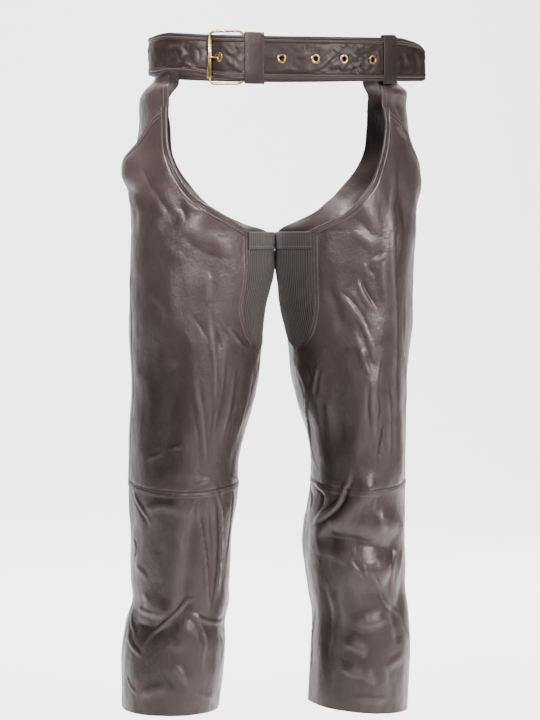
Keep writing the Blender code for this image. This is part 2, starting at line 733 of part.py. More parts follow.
def cut_round(target, centre, direction, radius, name):
    """Cuts a round hole through a solid."""
    bpy.ops.mesh.primitive_cylinder_add(vertices=12, radius=radius * MM, depth=14 * MM)
    cutter = bpy.context.object
    cutter.name = name
    cutter.location = [c * MM for c in centre]
    cutter.rotation_mode = "QUATERNION"
    cutter.rotation_quaternion = direction.to_track_quat("Z", "Y")
    cutter.hide_render = True
    cutter.display_type = "WIRE"
    cut = target.modifiers.new(name, "BOOLEAN")
    cut.operation = "DIFFERENCE"
    cut.object = cutter


def strap_stand(along):
    """Point on the strap's middle line at mid-height, its direction and its outward direction."""
    near = strap_path(np.array([along - 1.0, along, along + 1.0]))
    ahead = (near[2] - near[0]) / np.linalg.norm(near[2] - near[0])
    out = np.array([ahead[1], -ahead[0], 0.0])
    centre = np.array([near[1, 0], near[1, 1], belt_middle(near[1])])
    return centre, np.array([ahead[0], ahead[1], 0.0]), out


def build_strap():
    """The belt's strap: from the right hip through the buckle to its free end."""
    at_buckle = BUCKLE_ALONG + np.array(STRAP_AT_BUCKLE)
    along = np.concatenate([
        stations(-HALF_ROUND * BELT_SEAM, at_buckle[0], BELT_STEP)[:-1],
        at_buckle,
        stations(at_buckle[-1], TAIL_TOP[0, 0], BELT_STEP)[1:],
        TAIL_TOP[1:, 0],
    ])
    grids = band_along(strap_path(along), BELT_WALL / 2, reach=belt_reach(along))
    strap = add_solid("belt_strap", *wall_mesh(*grids), BELT_LEATHER)
    for number, place in enumerate(EYELET_ALONG, 1):
        centre, ahead, out = strap_stand(place)
        cut_round(strap, centre, Vector(out), EYELET_CUT, f"eyelet_cutter_{number}")
        build_eyelet(f"eyelet_{number}", centre, ahead, out)


def build_eyelet(name, centre, ahead, out):
    """A turned grommet: a flange on the strap and a barrel through its hole."""
    low = BELT_WALL / 2 + EYELET_STAND
    profile = [
        (EYELET_HOLE, low + EYELET_INNER_RISE), (EYELET_CREST, low + EYELET_CREST_RISE),
        (EYELET_FLANGE, low + EYELET_OUTER_RISE),
        (EYELET_FLANGE, low), (EYELET_BARREL, low), (EYELET_BARREL, -BELT_WALL / 2),
        (EYELET_HOLE, -BELT_WALL / 2),
    ]
    up = np.array([0.0, 0.0, 1.0])
    turns = np.radians(np.arange(EYELET_SIDES) * 360 / EYELET_SIDES)
    points = [centre + out * lift + (ahead * math.cos(t) + up * math.sin(t)) * radius
              for t in turns for radius, lift in profile]
    size = len(profile)
    faces = []
    for number in range(EYELET_SIDES):
        there = (number + 1) % EYELET_SIDES
        for k in range(size):
            m = (k + 1) % size
            faces.append((number * size + k, number * size + m, there * size + m, there * size + k))
    add_solid(name, points, faces, BRASS, smooth=True)


def build_buckle_half():
    """The belt's buckle end, from the left hip under the strap, folded round the heel bar."""
    loop = np.array(HEEL_LOOP, float)
    far = stations(HEEL_LOOP[-1][0], HALF_ROUND * BELT_SEAM - BUCKLE_ALONG, BELT_STEP)[1:]
    along = np.concatenate([loop[:, 0], far]) + BUCKLE_ALONG
    lift = np.concatenate([loop[:, 1], straight_table(BUCKLE_HALF_LIFTS, far + BUCKLE_ALONG)])
    path = belt_path(along, lift)[::-1]
    thick = np.full(len(far) + 1, BELT_WALL / 2)
    half = np.concatenate([np.full(len(loop) - 2, LOOP_HALF_WALL), [LOOP_STEP_HALF_WALL], thick])[::-1]
    slot = PRONG_SLOT / (BELT_WIDTH / 2)
    profile = np.array([(height, 0.0) for height in (-0.97, -0.5, -slot, slot, 0.5, 0.97)])
    inner, outer = band_along(path, half, profile=profile)
    slot_start, slot_end = len(far) + SLOT_COLUMNS[0], len(far) + SLOT_COLUMNS[1]
    add_solid("belt_buckle_half", *slotted_mesh(inner, outer, slot_start, slot_end), BELT_LEATHER)


def slotted_mesh(inner, outer, first, last):
    """A closed wall with a slot in its middle row, between two columns."""
    rows, columns = inner.shape[:2]
    gap_row = rows // 2 - 1
    points = np.concatenate([inner.reshape(-1, 3), outer.reshape(-1, 3)])
    shift = rows * columns
    cells = {(row, column) for row in range(rows - 1) for column in range(columns - 1)
             if not (row == gap_row and first <= column < last)}
    faces = []
    for row, column in cells:
        a, b = row * columns + column, row * columns + column + 1
        c, d = b + columns, a + columns
        faces += [(a, c, b), (a, d, c), (a + shift, b + shift, c + shift), (a + shift, c + shift, d + shift)]
        sides = {(row - 1, column): (a, b), (row, column + 1): (b, c), (row + 1, column): (c, d),
                 (row, column - 1): (d, a)}
        for neighbour, (p, q) in sides.items():
            if neighbour not in cells:
                faces += [(p, q, q + shift), (p, q + shift, p + shift)]
    return points, faces


def build_waistband():
    """The plain band round the back, between the two belt ends."""
    edge = HALF_ROUND * BELT_SEAM + SEAM_GAP
    along = stations(edge, 2 * HALF_ROUND - edge, BELT_STEP)
    path = belt_path(along, np.full(len(along), BELT_LIFT))
    add_solid("belt_back", *wall_mesh(*band_along(path, BELT_WALL / 2, reach=belt_reach(along))), BELT_LEATHER)


def buckle_point(along, lift, height):
    """A point near the buckle, by length from its middle, lift from the waist ring, and height."""
    flat = belt_path(np.array([BUCKLE_ALONG + along]), np.array([lift]))[0]
    base = belt_path(np.array([BUCKLE_ALONG]), np.array([lift]))[0]
    return np.array([flat[0], flat[1], belt_middle(base) + height])


def add_tube(name, path, radius, sides, look, closed=False):
    """A round rod along a path of points."""
    path = np.asarray(path, float)
    count = len(path)
    if closed:
        ahead = np.roll(path, -1, axis=0) - np.roll(path, 1, axis=0)
    else:
        ahead = np.gradient(path, axis=0)
    ahead /= np.linalg.norm(ahead, axis=1, keepdims=True)
    side = np.cross(ahead, np.append(waist_frame(BUCKLE_ALONG)[2], 0.0))
    side /= np.linalg.norm(side, axis=1, keepdims=True)
    lift = np.cross(side, ahead)
    turns = np.radians(np.arange(sides) * 360 / sides)
    points = [path[k] + (side[k] * math.cos(t) + lift[k] * math.sin(t)) * radius
              for k in range(count) for t in turns]
    faces = []
    for k in range(count if closed else count - 1):
        m = (k + 1) % count
        for t in range(sides):
            u = (t + 1) % sides
            faces.append((k * sides + t, k * sides + u, m * sides + u, m * sides + t))
    if not closed:
        faces.append(tuple(range(sides)))
        faces.append(tuple((count - 1) * sides + t for t in range(sides)))
    return add_solid(name, points, faces, look, smooth=True)


def build_buckle():
    """Frame, roller and prong."""
    bar = buckle_point(-BUCKLE_HALF_LENGTH, ROLLER_LIFT, 0)
    heel = buckle_point(BUCKLE_HALF_LENGTH, HEEL_LIFT, 0)
    middle = (bar + heel) / 2
    across = (heel - bar) / np.linalg.norm(heel - bar)
    half = np.linalg.norm(heel - bar) / 2
    up = np.array([0.0, 0.0, 1.0])
    corners = ((1, 1, 0), (-1, 1, 90), (-1, -1, 180), (1, -1, 270))
    path = []
    for sign_x, sign_z, first in corners:
        centre_x = sign_x * (half - BUCKLE_CORNER)
        centre_z = sign_z * (BUCKLE_HALF_HEIGHT - BUCKLE_CORNER)
        for step in range(6):
            angle = math.radians(first + 18 * step)
            x = centre_x + BUCKLE_CORNER * math.cos(angle)
            z = centre_z + BUCKLE_CORNER * math.sin(angle)
            path.append(middle + across * x + up * z)
    add_tube("buckle_frame", path, BUCKLE_WIRE, 10, BRASS, closed=True)
    build_roller(bar)
    build_prong(heel)


def build_roller(bar):
    """The tube that turns on the frame's front bar."""
    turns = np.radians(np.arange(ROUND_SIDES) * 360 / ROUND_SIDES)
    half = BUCKLE_HALF_HEIGHT - BUCKLE_CORNER - ROLLER_END_GAP
    ring = [(ROLLER_OUTER, half), (ROLLER_OUTER, -half), (ROLLER_INNER, -half), (ROLLER_INNER, half)]
    points = [bar + np.array([radius * math.cos(t), radius * math.sin(t), z]) for t in turns for radius, z in ring]
    faces = []
    for k in range(ROUND_SIDES):
        m = (k + 1) % ROUND_SIDES
        for j in range(4):
            i = (j + 1) % 4
            faces.append((k * 4 + j, k * 4 + i, m * 4 + i, m * 4 + j))
    add_solid("buckle_roller", points, faces, BRASS, smooth=True)


def build_prong(heel):
    """The prong: an eye round the heel bar and a shank that ends on the roller."""
    path = np.array([buckle_point(along, lift, 0) for along, lift in PRONG_PATH])
    shank = add_tube("buckle_prong", path, PRONG_RADIUS, 8, BRASS)
    turns = np.radians(np.arange(ROUND_SIDES) * 360 / ROUND_SIDES)
    ahead = np.append(waist_frame(BUCKLE_ALONG + BUCKLE_HALF_LENGTH)[1], 0.0)
    out = np.append(waist_frame(BUCKLE_ALONG + BUCKLE_HALF_LENGTH)[2], 0.0)
    inner, outer, half = BUCKLE_WIRE + 0.3, BUCKLE_WIRE + 1.7, 1.6
    ring = [(outer, half), (outer, -half), (inner, -half), (inner, half)]
    points = [heel + (ahead * math.cos(t) + out * math.sin(t)) * radius + np.array([0, 0, z])
              for t in turns for radius, z in ring]
    faces = []
    for k in range(ROUND_SIDES):
        m = (k + 1) % ROUND_SIDES
        for j in range(4):
            i = (j + 1) % 4
            faces.append((k * 4 + j, k * 4 + i, m * 4 + i, m * 4 + j))
    eye = add_solid("prong_eye", points, faces, BRASS)
    join = shank.modifiers.new("eye", "BOOLEAN")
    join.operation = "UNION"
    join.object = eye
    eye.hide_render = True
    eye.display_type = "WIRE"


def build_keeper(name, start, end, half_height, back_lift):
    """A leather loop round the belt's layers."""
    along = np.array([start, (start + end) / 2, end])
    strap = np.array([strap_stand(a)[0] for a in along])
    outs = np.array([strap_stand(a)[2] for a in along])
    lift = BELT_WALL / 2 + KEEPER_FRONT_GAP
    front = strap + outs * (lift + KEEPER_WALL)
    back_point, _, back_out = waist_frame(along)
    back = np.zeros_like(front)
    back[:, :2] = back_point + back_out * back_lift
    back[:, 2] = strap[:, 2]
    ring_out, ring_in = [], []
    for k in range(3):
        depth = front[k] - back[k]
        depth[2] = 0
        toward = depth / np.linalg.norm(depth)
        up = np.array([0.0, 0.0, 1.0])
        outer_loop = []
        inner_loop = []
        for base, sign_depth in ((front[k], 1), (back[k], -1)):
            order = (1, -1) if sign_depth == 1 else (-1, 1)
            for sign_up in order:
                edge = base + up * sign_up * half_height
                a = edge - toward * sign_depth * KEEPER_OUTER_CORNER
                b = edge - up * sign_up * KEEPER_OUTER_CORNER
                pair = (a, b) if (sign_depth == 1) == (sign_up == 1) else (b, a)
                outer_loop += list(pair)
                inner_corner = base - toward * sign_depth * KEEPER_WALL + up * sign_up * (half_height - KEEPER_WALL)
                a = inner_corner - toward * sign_depth * KEEPER_INNER_CORNER
                b = inner_corner - up * sign_up * KEEPER_INNER_CORNER
                pair = (a, b) if (sign_depth == 1) == (sign_up == 1) else (b, a)
                inner_loop += list(pair)
        ring_out.append(outer_loop)
        ring_in.append(inner_loop)
    outer = np.array(ring_out)
    inner = np.array(ring_in)
    add_solid(name, *loop_mesh(inner, outer), BELT_LEATHER)


def loop_mesh(inner, outer):
    """A closed band between an inner and an outer loop, repeated along a few stations."""
    rows, around = inner.shape[:2]
    points = np.concatenate([inner.reshape(-1, 3), outer.reshape(-1, 3)])
    shift = rows * around
    faces = []
    for row in range(rows - 1):
        for k in range(around):
            m = (k + 1) % around
            a, b, c, d = row * around + k, row * around + m, (row + 1) * around + m, (row + 1) * around + k
            faces += [(a, c, b), (a, d, c), (a + shift, b + shift, c + shift), (a + shift, c + shift, d + shift)]
    for row in (0, rows - 1):
        for k in range(around):
            m = (k + 1) % around
            a, b = row * around + k, row * around + m
            faces.append((a, b, b + shift, a + shift) if row == 0 else (b, a, a + shift, b + shift))
    return points, faces


def build_belt():
    build_strap()
    build_buckle_half()
    build_waistband()
    build_buckle()
    for name, sizes in KEEPERS.items():
        build_keeper(f"belt_keeper_{name}", *sizes)


def main():
    for old in list(bpy.data.objects):
        bpy.data.objects.remove(old)
    for side in SIDES:
        build_leg(side)
    build_belt()


main()
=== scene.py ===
"""The looks of a pair of leather chaps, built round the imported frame.

Sizes are in millimetres until a mesh is made. The front faces -Y and the wearer's right leg is at -X.
A leg's surface is addressed by its turn (0 front, 90 outer side, 180 back, 270 inner side) and its height.
"""

import math

import bpy
import numpy as np
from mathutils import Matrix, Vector


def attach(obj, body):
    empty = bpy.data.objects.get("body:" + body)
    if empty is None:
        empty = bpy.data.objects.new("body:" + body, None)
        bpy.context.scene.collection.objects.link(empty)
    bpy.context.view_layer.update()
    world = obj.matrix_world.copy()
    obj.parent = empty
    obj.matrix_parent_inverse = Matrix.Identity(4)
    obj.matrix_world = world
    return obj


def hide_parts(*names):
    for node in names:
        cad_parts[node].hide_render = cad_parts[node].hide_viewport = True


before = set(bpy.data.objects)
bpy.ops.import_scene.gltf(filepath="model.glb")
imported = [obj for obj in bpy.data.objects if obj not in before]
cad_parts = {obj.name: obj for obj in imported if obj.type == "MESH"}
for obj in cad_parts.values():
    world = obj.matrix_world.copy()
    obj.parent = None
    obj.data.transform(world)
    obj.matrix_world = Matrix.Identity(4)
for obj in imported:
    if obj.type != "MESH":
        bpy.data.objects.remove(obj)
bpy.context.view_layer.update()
MM = 0.001

# ---- Sizes that the solids share ----

WALL = 1.5
SEAM_GAP = 0.3
BAND_WIDTH = 12.0
BAND_WALL = 1.3
BAND_STAND = 0.05
SIDES = {"right": -1, "left": 1}
BELT_WIDTH = 64.0
BELT_WALL = 3.0
BELT_LIFT = 3.5
# Where the strap and the buckle half meet the back of the belt, as a share of half the way round
BELT_SEAM = 0.52
WAIST_HALF_WIDTH = 183.0
WAIST_HALF_DEPTH = 117.0
WAIST_CENTRE_X = 6.0
BELT_LEVEL = 0.8
FRONT_DIP = 14.8
LEFT_DIP_SPREAD = 0.65
LEG_TOP = -19.0
BELOW_BELT = -44.0
HIP_END = -170.0
CROTCH = -262.0
KNEE = -630.0
KNEE_DIP = 12.0
STRETCH_BOTTOM = -434.0
HEM = {"right": (-976, 0.0), "left": (-978, -7.0)}

# The body above the crotch: height, half width, half depth, centre x, centre y
HIP_SECTIONS = np.array([
    (-18, 182.8, 116.8, 6.0, 0), (-44, 182.8, 116.8, 6.0, 0), (-52, 190, 120, 4.5, 0),
    (-64, 196, 122, 2.0, 1), (-100, 202, 126, 4.0, 2), (-150, 207, 130, 4.0, 4),
    (-200, 214, 130, 4.0, 5), (-262, 214, 126, 2.5, 5),
], float)

# Each leg: height, outer side, inner side (both from the middle plane), half depth, centre y
LEG_SECTIONS = {
    "right": np.array([
        (-262, 211, 1, 107, 4), (-334, 213, 2, 104, 2), (-370, 212, 10, 101, 1), (-424, 213, 16, 98, 0),
        (-514, 211, 28, 95, -2), (-550, 214, 38, 92, -3), (-600, 216, 50, 90, -4), (-650, 216, 53, 88, -4),
        (-700, 214, 61, 86, -1), (-784, 213, 64, 82, 5), (-815, 211, 65, 80, 8), (-845, 220, 70, 82, 9),
        (-875, 225, 69, 84, 10), (-978, 227, 79, 82, 14),
    ], float),
    "left": np.array([
        (-262, 218, 7.5, 107, 4), (-334, 213, 10, 104, 2), (-370, 212, 13, 101, 1), (-424, 209, 24, 98, 0),
        (-478, 204, 30, 96, -1), (-514, 203, 37, 94, -2), (-560, 201, 52, 91, -3), (-640, 200, 57, 88, -4),
        (-676, 200, 52, 87, -2), (-730, 202, 48, 85, 1), (-770, 203, 51, 84, 4), (-802, 203, 56, 82, 7),
        (-838, 208, 62, 82, 9), (-874, 211, 61, 84, 10), (-978, 209, 55, 82, 14),
    ], float),
}

# Front edge of the seat opening above the crotch: height, distance from the middle plane
FRONT_EDGE = {
    "right": np.array([
        (-19, 152), (-46, 156), (-70, 159), (-105, 160), (-140, 158), (-175, 147),
        (-193, 137), (-210, 123), (-228, 96), (-245, 68), (-262, 43),
    ], float),
    "left": np.array([
        (-19, 143), (-46, 148), (-70, 154), (-105, 157), (-140, 153), (-175, 141),
        (-193, 133), (-210, 120), (-228, 104), (-245, 77), (-262, 42),
    ], float),
}

# Back edge of the seat opening: height, turn
BACK_EDGE = np.array([
    (-19, 129), (-60, 129), (-105, 132), (-150, 136), (-185, 146), (-215, 165),
    (-235, 188), (-245, 208), (-252, 226), (-257, 242), (-262, 257),
], float)

# Stretch panel below the crotch: height, turn of its front edge, turn of its back edge
STRETCH_EDGES = np.array([
    (-262, -36, -103), (-320, -36, -103), (-370, -36, -103), (-392, -40, -99),
    (-412, -47, -92), (-426, -56, -83), (-434, -69.5, -69.5),
], float)
INSEAM = np.array([(-434, -69.5), (-520, -82), (-633, -89), (-800, -90), (-978, -90)], float)
SIDE_SEAM = {
    "right": np.array([(-19, 96), (-172, 94), (-260, 86), (-350, 80), (-640, 79), (-978, 82)], float),
    "left": np.array([(-19, 96), (-172, 94), (-260, 92), (-350, 90), (-640, 88), (-978, 88)], float),
}
POCKET_MOUTH = np.array([(0.0, -80), (0.3, -98), (0.6, -127), (0.85, -156), (1.0, -173)], float)
POCKET_TUCK = 16.0
FACING_SINK = 2.6

# Large folds on each leg: start height, start turn, end height, end turn, half width, rise outward
FOLDS = {
    "right": [
        (-165, 84, -178, 86, 26, 17.0), (-190, 96, -202, 80, 12, -4.0), (-160, 40, -250, 30, 16, -3.5),
        (-430, 4, -610, 0, 20, 3.5), (-470, 24, -600, 22, 18, -3.0), (-665, 8, -820, 18, 18, 4.5),
        (-690, -8, -820, 2, 14, -4.0), (-812, 34, -868, -24, 20, 6.0), (-845, 60, -838, 10, 18, -7.0),
        (-838, 150, -828, 215, 20, -6.0), (-660, 150, -700, 205, 22, -5.0), (-300, 150, -420, 170, 26, 4.0),
    ],
    "left": [
        (-168, 84, -186, 86, 26, 7.0), (-280, 42, -610, 48, 22, 5.0), (-340, 8, -450, 14, 22, -4.0),
        (-640, 2, -690, -30, 16, 7.0), (-712, -34, -728, 40, 19, -10.0), (-690, 24, -704, 52, 20, 5.0),
        (-760, -10, -765, 26, 16, 5.0), (-790, 34, -860, 44, 18, -5.0), (-828, 46, -800, 60, 16, -4.0),
        (-712, 150, -700, 210, 22, -6.0), (-820, 160, -835, 200, 22, -5.0), (-300, 150, -420, 170, 26, 4.0),
    ],
}
# The length that a degree of turn stands for in the plan of creases, and where that plan starts and ends
TURN_LENGTH = 1.65
BACK_TURN = -120.0

# ---- The camera, which also sets how the front drawing lies on the legs ----

CAMERA_TURN = math.radians(-6.0)
CAMERA_DISTANCE = 3400.0
AIM = np.array([-3.0, 0.0, -454.0])
EYE_LEVEL = -270.0
EYE = np.array([
    AIM[0] + CAMERA_DISTANCE * math.sin(CAMERA_TURN), -CAMERA_DISTANCE * math.cos(CAMERA_TURN), EYE_LEVEL,
])
LENS = 113.5
SENSOR_HEIGHT = 36.0

# ---- Creases of the leather ----

# Front creases, drawn on a front view of 1.5 mm squares: points across and down, half width and rise in
# millimetres, and the share of the rise that the leather sinks beside the crease (+ right, - left of its run)
DRAWING_SQUARE = 1.5
DRAWING_ZERO = (272, 57)
FRONT_CREASES = {
    "right": [
        ([(150, 84), (147, 96), (149, 108)], 4, 1.1, 0.5),
        ([(155, 108), (158, 115), (160, 122)], 2.5, 0.9, 0.8),
        ([(142, 158), (144, 170), (152, 185), (163, 203), (175, 222)], 3.6, -1.2, -0.5),
        ([(139, 168), (147, 184), (158, 202)], 6, 0.8, 0.3),
        ([(151, 163), (158, 182), (171, 206), (180, 222)], 6.5, 0.8, 0.3),
        ([(165, 140), (166, 165), (172, 190)], 5, 1.0, 0.5),
        ([(130, 190), (140, 212), (139, 240)], 7, 1.4, 0.3),
        ([(182, 196), (192, 206), (206, 212)], 3.2, 1.2, 0.7),
        ([(180, 206), (186, 216), (184, 226)], 2.8, -1.1, -0.6),
        ([(186, 218), (205, 236), (236, 250)], 8, 0.9, -0.4),
        ([(180, 234), (205, 252), (238, 262)], 5, -0.8, 0.4),
        ([(160, 236), (170, 250), (186, 262)], 7, 0.9, 0.5),
        ([(202, 263), (208, 280), (208, 296), (206, 312)], 4.5, 1.2, 0.7),
        ([(190, 311), (202, 330), (208, 339)], 3, -0.9, -0.5),
        ([(207, 308), (210, 330), (213, 350), (215, 370), (213, 411)], 3.2, 1.4, 0.7),
        ([(214, 326), (219, 342), (220, 356)], 2.8, -1.2, -0.5),
        ([(216, 314), (226, 326), (238, 339), (248, 352)], 3.2, 1.1, 0.6),
        ([(228, 352), (226, 380), (220, 411), (216, 431), (212, 446)], 3, -1.4, -0.7),
        ([(236, 356), (233, 385), (226, 420), (220, 450)], 5, 0.9, 0.5),
        ([(160, 262), (171, 292), (176, 330)], 9, 0.9, 0.4),
        ([(148, 290), (160, 306), (166, 324)], 4, 0.8, 0.6),
        ([(146, 380), (150, 400), (148, 420)], 6, 0.7, 0.4),
        ([(195, 366), (197, 395), (202, 418), (205, 449), (208, 476)], 3, 1.6, 0.9),
        ([(191, 392), (193, 405), (198, 434), (200, 461), (202, 476)], 2.6, -1.2, -0.3),
        ([(210, 380), (212, 418), (210, 452)], 2.4, -1.2, -0.3),
        ([(252, 362), (249, 392), (241, 424), (235, 448)], 3.4, 1.6, 0.8),
        ([(262, 354), (257, 372), (253, 392)], 3, 1.1, 0.6),
        ([(165, 450), (176, 447), (186, 447)], 3.2, 0.6, 0.7),
        ([(147, 460), (159, 455), (165, 450)], 3.2, 0.8, 0.8),
        ([(192, 470), (200, 478), (210, 480)], 2.6, 1.5, 0.8),
        ([(196, 486), (204, 481), (213, 479)], 2.2, 1.3, 0.8),
        ([(222, 470), (230, 478), (240, 480)], 2.6, 1.0, 0.7),
        ([(132, 487), (138, 502), (146, 516), (153, 529)], 2.8, 2.1, -0.9),
        ([(144, 512), (158, 508), (174, 510), (184, 515)], 7, 1.7, 0.3),
        ([(197, 494), (198, 511), (202, 537), (206, 566), (208, 600), (211, 614)], 3.2, 3.4, 0.9),
        ([(214, 484), (221, 508), (221, 537), (220, 558), (218, 582), (212, 614)], 2.8, 3.0, -0.9),
        ([(209, 500), (212, 530), (213, 565)], 4, -1.4, 0.3),
        ([(196, 493), (192, 508), (186, 520)], 3, 1.0, 0.6),
        ([(225, 484), (224, 500), (228, 516)], 2.4, 1.3, 0.6),
        ([(232, 480), (233, 500), (230, 530), (226, 565)], 3, 1.4, -0.7),
        ([(170, 524), (178, 540), (184, 560)], 6, 1.2, 0.4),
        ([(132, 534), (135, 549), (132, 562)], 2.6, 1.6, 0.8),
        ([(134, 566), (143, 575), (150, 586)], 4.5, 1.0, 0.3),
        ([(141, 594), (147, 603), (143, 611)], 6, 1.5, 0.2),
        ([(199, 602), (188, 602), (180, 610), (164, 625), (152, 636), (140, 652)], 3.2, 3.0, -0.9),
        ([(136, 608), (150, 616), (165, 618), (174, 613)], 3.2, 1.8, -0.8),
        ([(137, 622), (146, 628), (152, 629)], 4, -1.0, 0.2),
        ([(179, 616), (193, 618), (201, 628), (204, 640), (203, 660), (201, 678)], 3, 2.2, -0.9),
        ([(188, 612), (202, 621), (217, 624), (225, 620)], 2.8, 2.1, 0.9),
        ([(125, 636), (134, 651), (142, 660)], 2.8, 2.1, 0.9),
        ([(131, 612), (131, 628), (135, 640)], 2.6, 1.4, -0.7),
        ([(219, 634), (223, 650), (221, 670)], 3.2, 1.4, 0.7),
        ([(164, 643), (176, 649), (188, 646)], 7, 1.4, 0.4),
        ([(172, 666), (180, 676), (185, 688)], 5.5, 2.4, 0.6),
        ([(160, 672), (168, 684), (172, 696)], 6, -1.4, 0.3),
        ([(124, 674), (130, 688), (138, 698)], 2.8, 1.8, -0.8),
        ([(139, 699), (152, 695), (168, 690)], 9, 2.2, 0.15),
        ([(190, 694), (204, 700), (217, 698)], 6, 1.1, 0.3),
    ],
    "left": [
        ([(388, 87), (393, 105), (402, 124)], 3.6, 1.9, 0.8),
        ([(380, 92), (384, 112), (392, 128)], 3, -1.2, 0.4),
        ([(396, 124), (401, 133), (406, 140)], 3, 1.8, 0.8),
        ([(393, 128), (394, 180), (394, 230), (395, 300), (396, 358), (395, 420), (394, 478)], 3.0, 2.1, 0.9),
        ([(401, 140), (401, 200), (401, 260), (402, 300)], 7, -2.2, 0.2),
        ([(385, 150), (384, 200), (385, 260), (386, 330)], 7, 1.5, 0.2),
        ([(402, 296), (402, 320), (403, 348)], 2.4, 1.2, 0.8),
        ([(399, 318), (403, 348), (406, 368), (407, 390)], 2.6, 1.9, -0.9),
        ([(380, 150), (376, 190), (372, 222), (372, 246)], 8, 1.8, 0.5),
        ([(352, 226), (364, 238), (380, 246)], 7, 2.4, 0.6),
        ([(372, 262), (380, 259), (386, 252)], 3, 1.4, 0.8),
        ([(364, 262), (368, 272), (372, 278)], 3, 1.3, 0.7),
        ([(356, 276), (362, 292), (368, 302), (375, 312)], 3.4, 2.8, 0.9),
        ([(333, 288), (344, 298), (352, 308), (360, 320), (365, 334)], 3.0, 2.0, 0.8),
        ([(350, 304), (359, 316), (366, 332), (371, 350), (374, 364)], 2.8, 1.7, -0.8),
        ([(352, 326), (358, 342), (363, 358), (369, 374)], 2.8, 1.4, 0.8),
        ([(324, 282), (336, 300), (342, 330)], 8, -1.6, 0.3),
        ([(360, 344), (365, 364), (371, 378)], 5, 1.9, 0.4),
        ([(380, 352), (377, 372), (373, 392)], 2.6, 1.5, 0.7),
        ([(369, 376), (368, 404), (369, 434)], 2.6, -1.5, -0.4),
        ([(377, 386), (379, 405), (379, 424)], 2.3, -1.8, -0.4),
        ([(384, 416), (380, 446), (378, 466)], 3, -2.4, -0.5),
        ([(373, 398), (374, 420), (374, 442)], 4, 2.0, 0.3),
        ([(388, 380), (390, 415), (388, 468)], 3.2, 1.8, 0.7),
        ([(294, 362), (301, 376), (306, 396), (307, 420), (312, 450), (317, 474)], 3, 2.6, -0.8),
        ([(304, 356), (309, 374), (308, 392)], 2.6, -1.6, 0.5),
        ([(318, 362), (315, 378), (312, 396)], 2.6, 1.8, 0.7),
        ([(326, 380), (322, 420), (326, 462)], 8, -1.6, 0.3),
        ([(340, 386), (342, 420), (340, 456)], 8, -1.4, 0.2),
        ([(381, 290), (375, 335), (371, 380), (367, 420), (361, 452), (352, 476)], 21, 4.6, 0.0),
        ([(338, 330), (337, 380), (336, 430), (328, 468)], 24, -3.6, 0.0),
        ([(352, 470), (348, 482), (344, 491), (341, 500), (333, 510), (321, 518), (311, 526)], 4.2, 5.0, 0.9),
        ([(312, 479), (321, 488), (327, 496), (324, 509), (314, 522)], 3, 2.8, -0.8),
        ([(308, 484), (311, 500), (308, 514)], 3, 1.6, 0.5),
        ([(384, 512), (382, 523), (384, 534)], 6, 2.0, 0.3),
        ([(376, 496), (374, 508), (375, 516)], 2.8, 1.2, 0.8),
        ([(362, 561), (370, 563), (380, 560)], 4, 0.8, 0.6),
        ([(349, 562), (356, 570), (364, 580)], 2.6, 2.4, 0.9),
        ([(363, 566), (366, 572), (368, 579)], 2.2, 1.5, 0.7),
        ([(367, 567), (378, 587), (387, 604), (393, 609)], 2.6, 2.6, 0.9),
        ([(376, 590), (384, 604)], 3.6, -1.2, 0.2),
        ([(403, 526), (399, 540), (397, 552), (394, 569), (393, 587), (391, 602)], 3.8, 1.7, -0.7),
        ([(402, 548), (401, 566), (396, 584)], 3.4, 0.8, 0.5),
        ([(391, 606), (399, 616), (406, 631), (411, 645)], 2.8, 2.8, 0.9),
        ([(384, 674), (394, 666), (406, 656)], 6.5, 1.5, 0.4),
        ([(384, 660), (387, 676), (387, 692)], 3.6, 0.9, 0.6),
        ([(350, 700), (370, 704), (391, 701)], 5, 1.8, 0.5),
        ([(325, 572), (329, 620), (325, 684)], 13, -3.0, 0.1),
        ([(313, 598), (312, 640), (311, 672), (309, 692)], 3, 2.0, -0.7),
        ([(343, 570), (342, 600), (346, 640)], 9, 1.6, 0.3),
    ],
}

# Folds that bulge and hang over: points drawn as above along the lower edge, half width above the edge and
# below it, rise
FRONT_DROPS = {
    "right": [
        ([(172, 672), (182, 680), (190, 690)], 9, 6, 1.4),
        ([(124, 190), (132, 204), (134, 220)], 12, 6, 1.2),
    ],
    "left": [
        ([(306, 537), (330, 530), (350, 532), (370, 537), (392, 546)], 22, 8, 4.6),
        ([(312, 547), (330, 556), (345, 562), (356, 569)], 12, 6.5, 2.4),
        ([(348, 621), (366, 627), (388, 620)], 13, 8, 3.8),
        ([(342, 647), (355, 650), (368, 659)], 11, 4.5, 3.4),
        ([(338, 669), (353, 676), (366, 681), (379, 688)], 13, 4.5, 4.4),
    ],
}

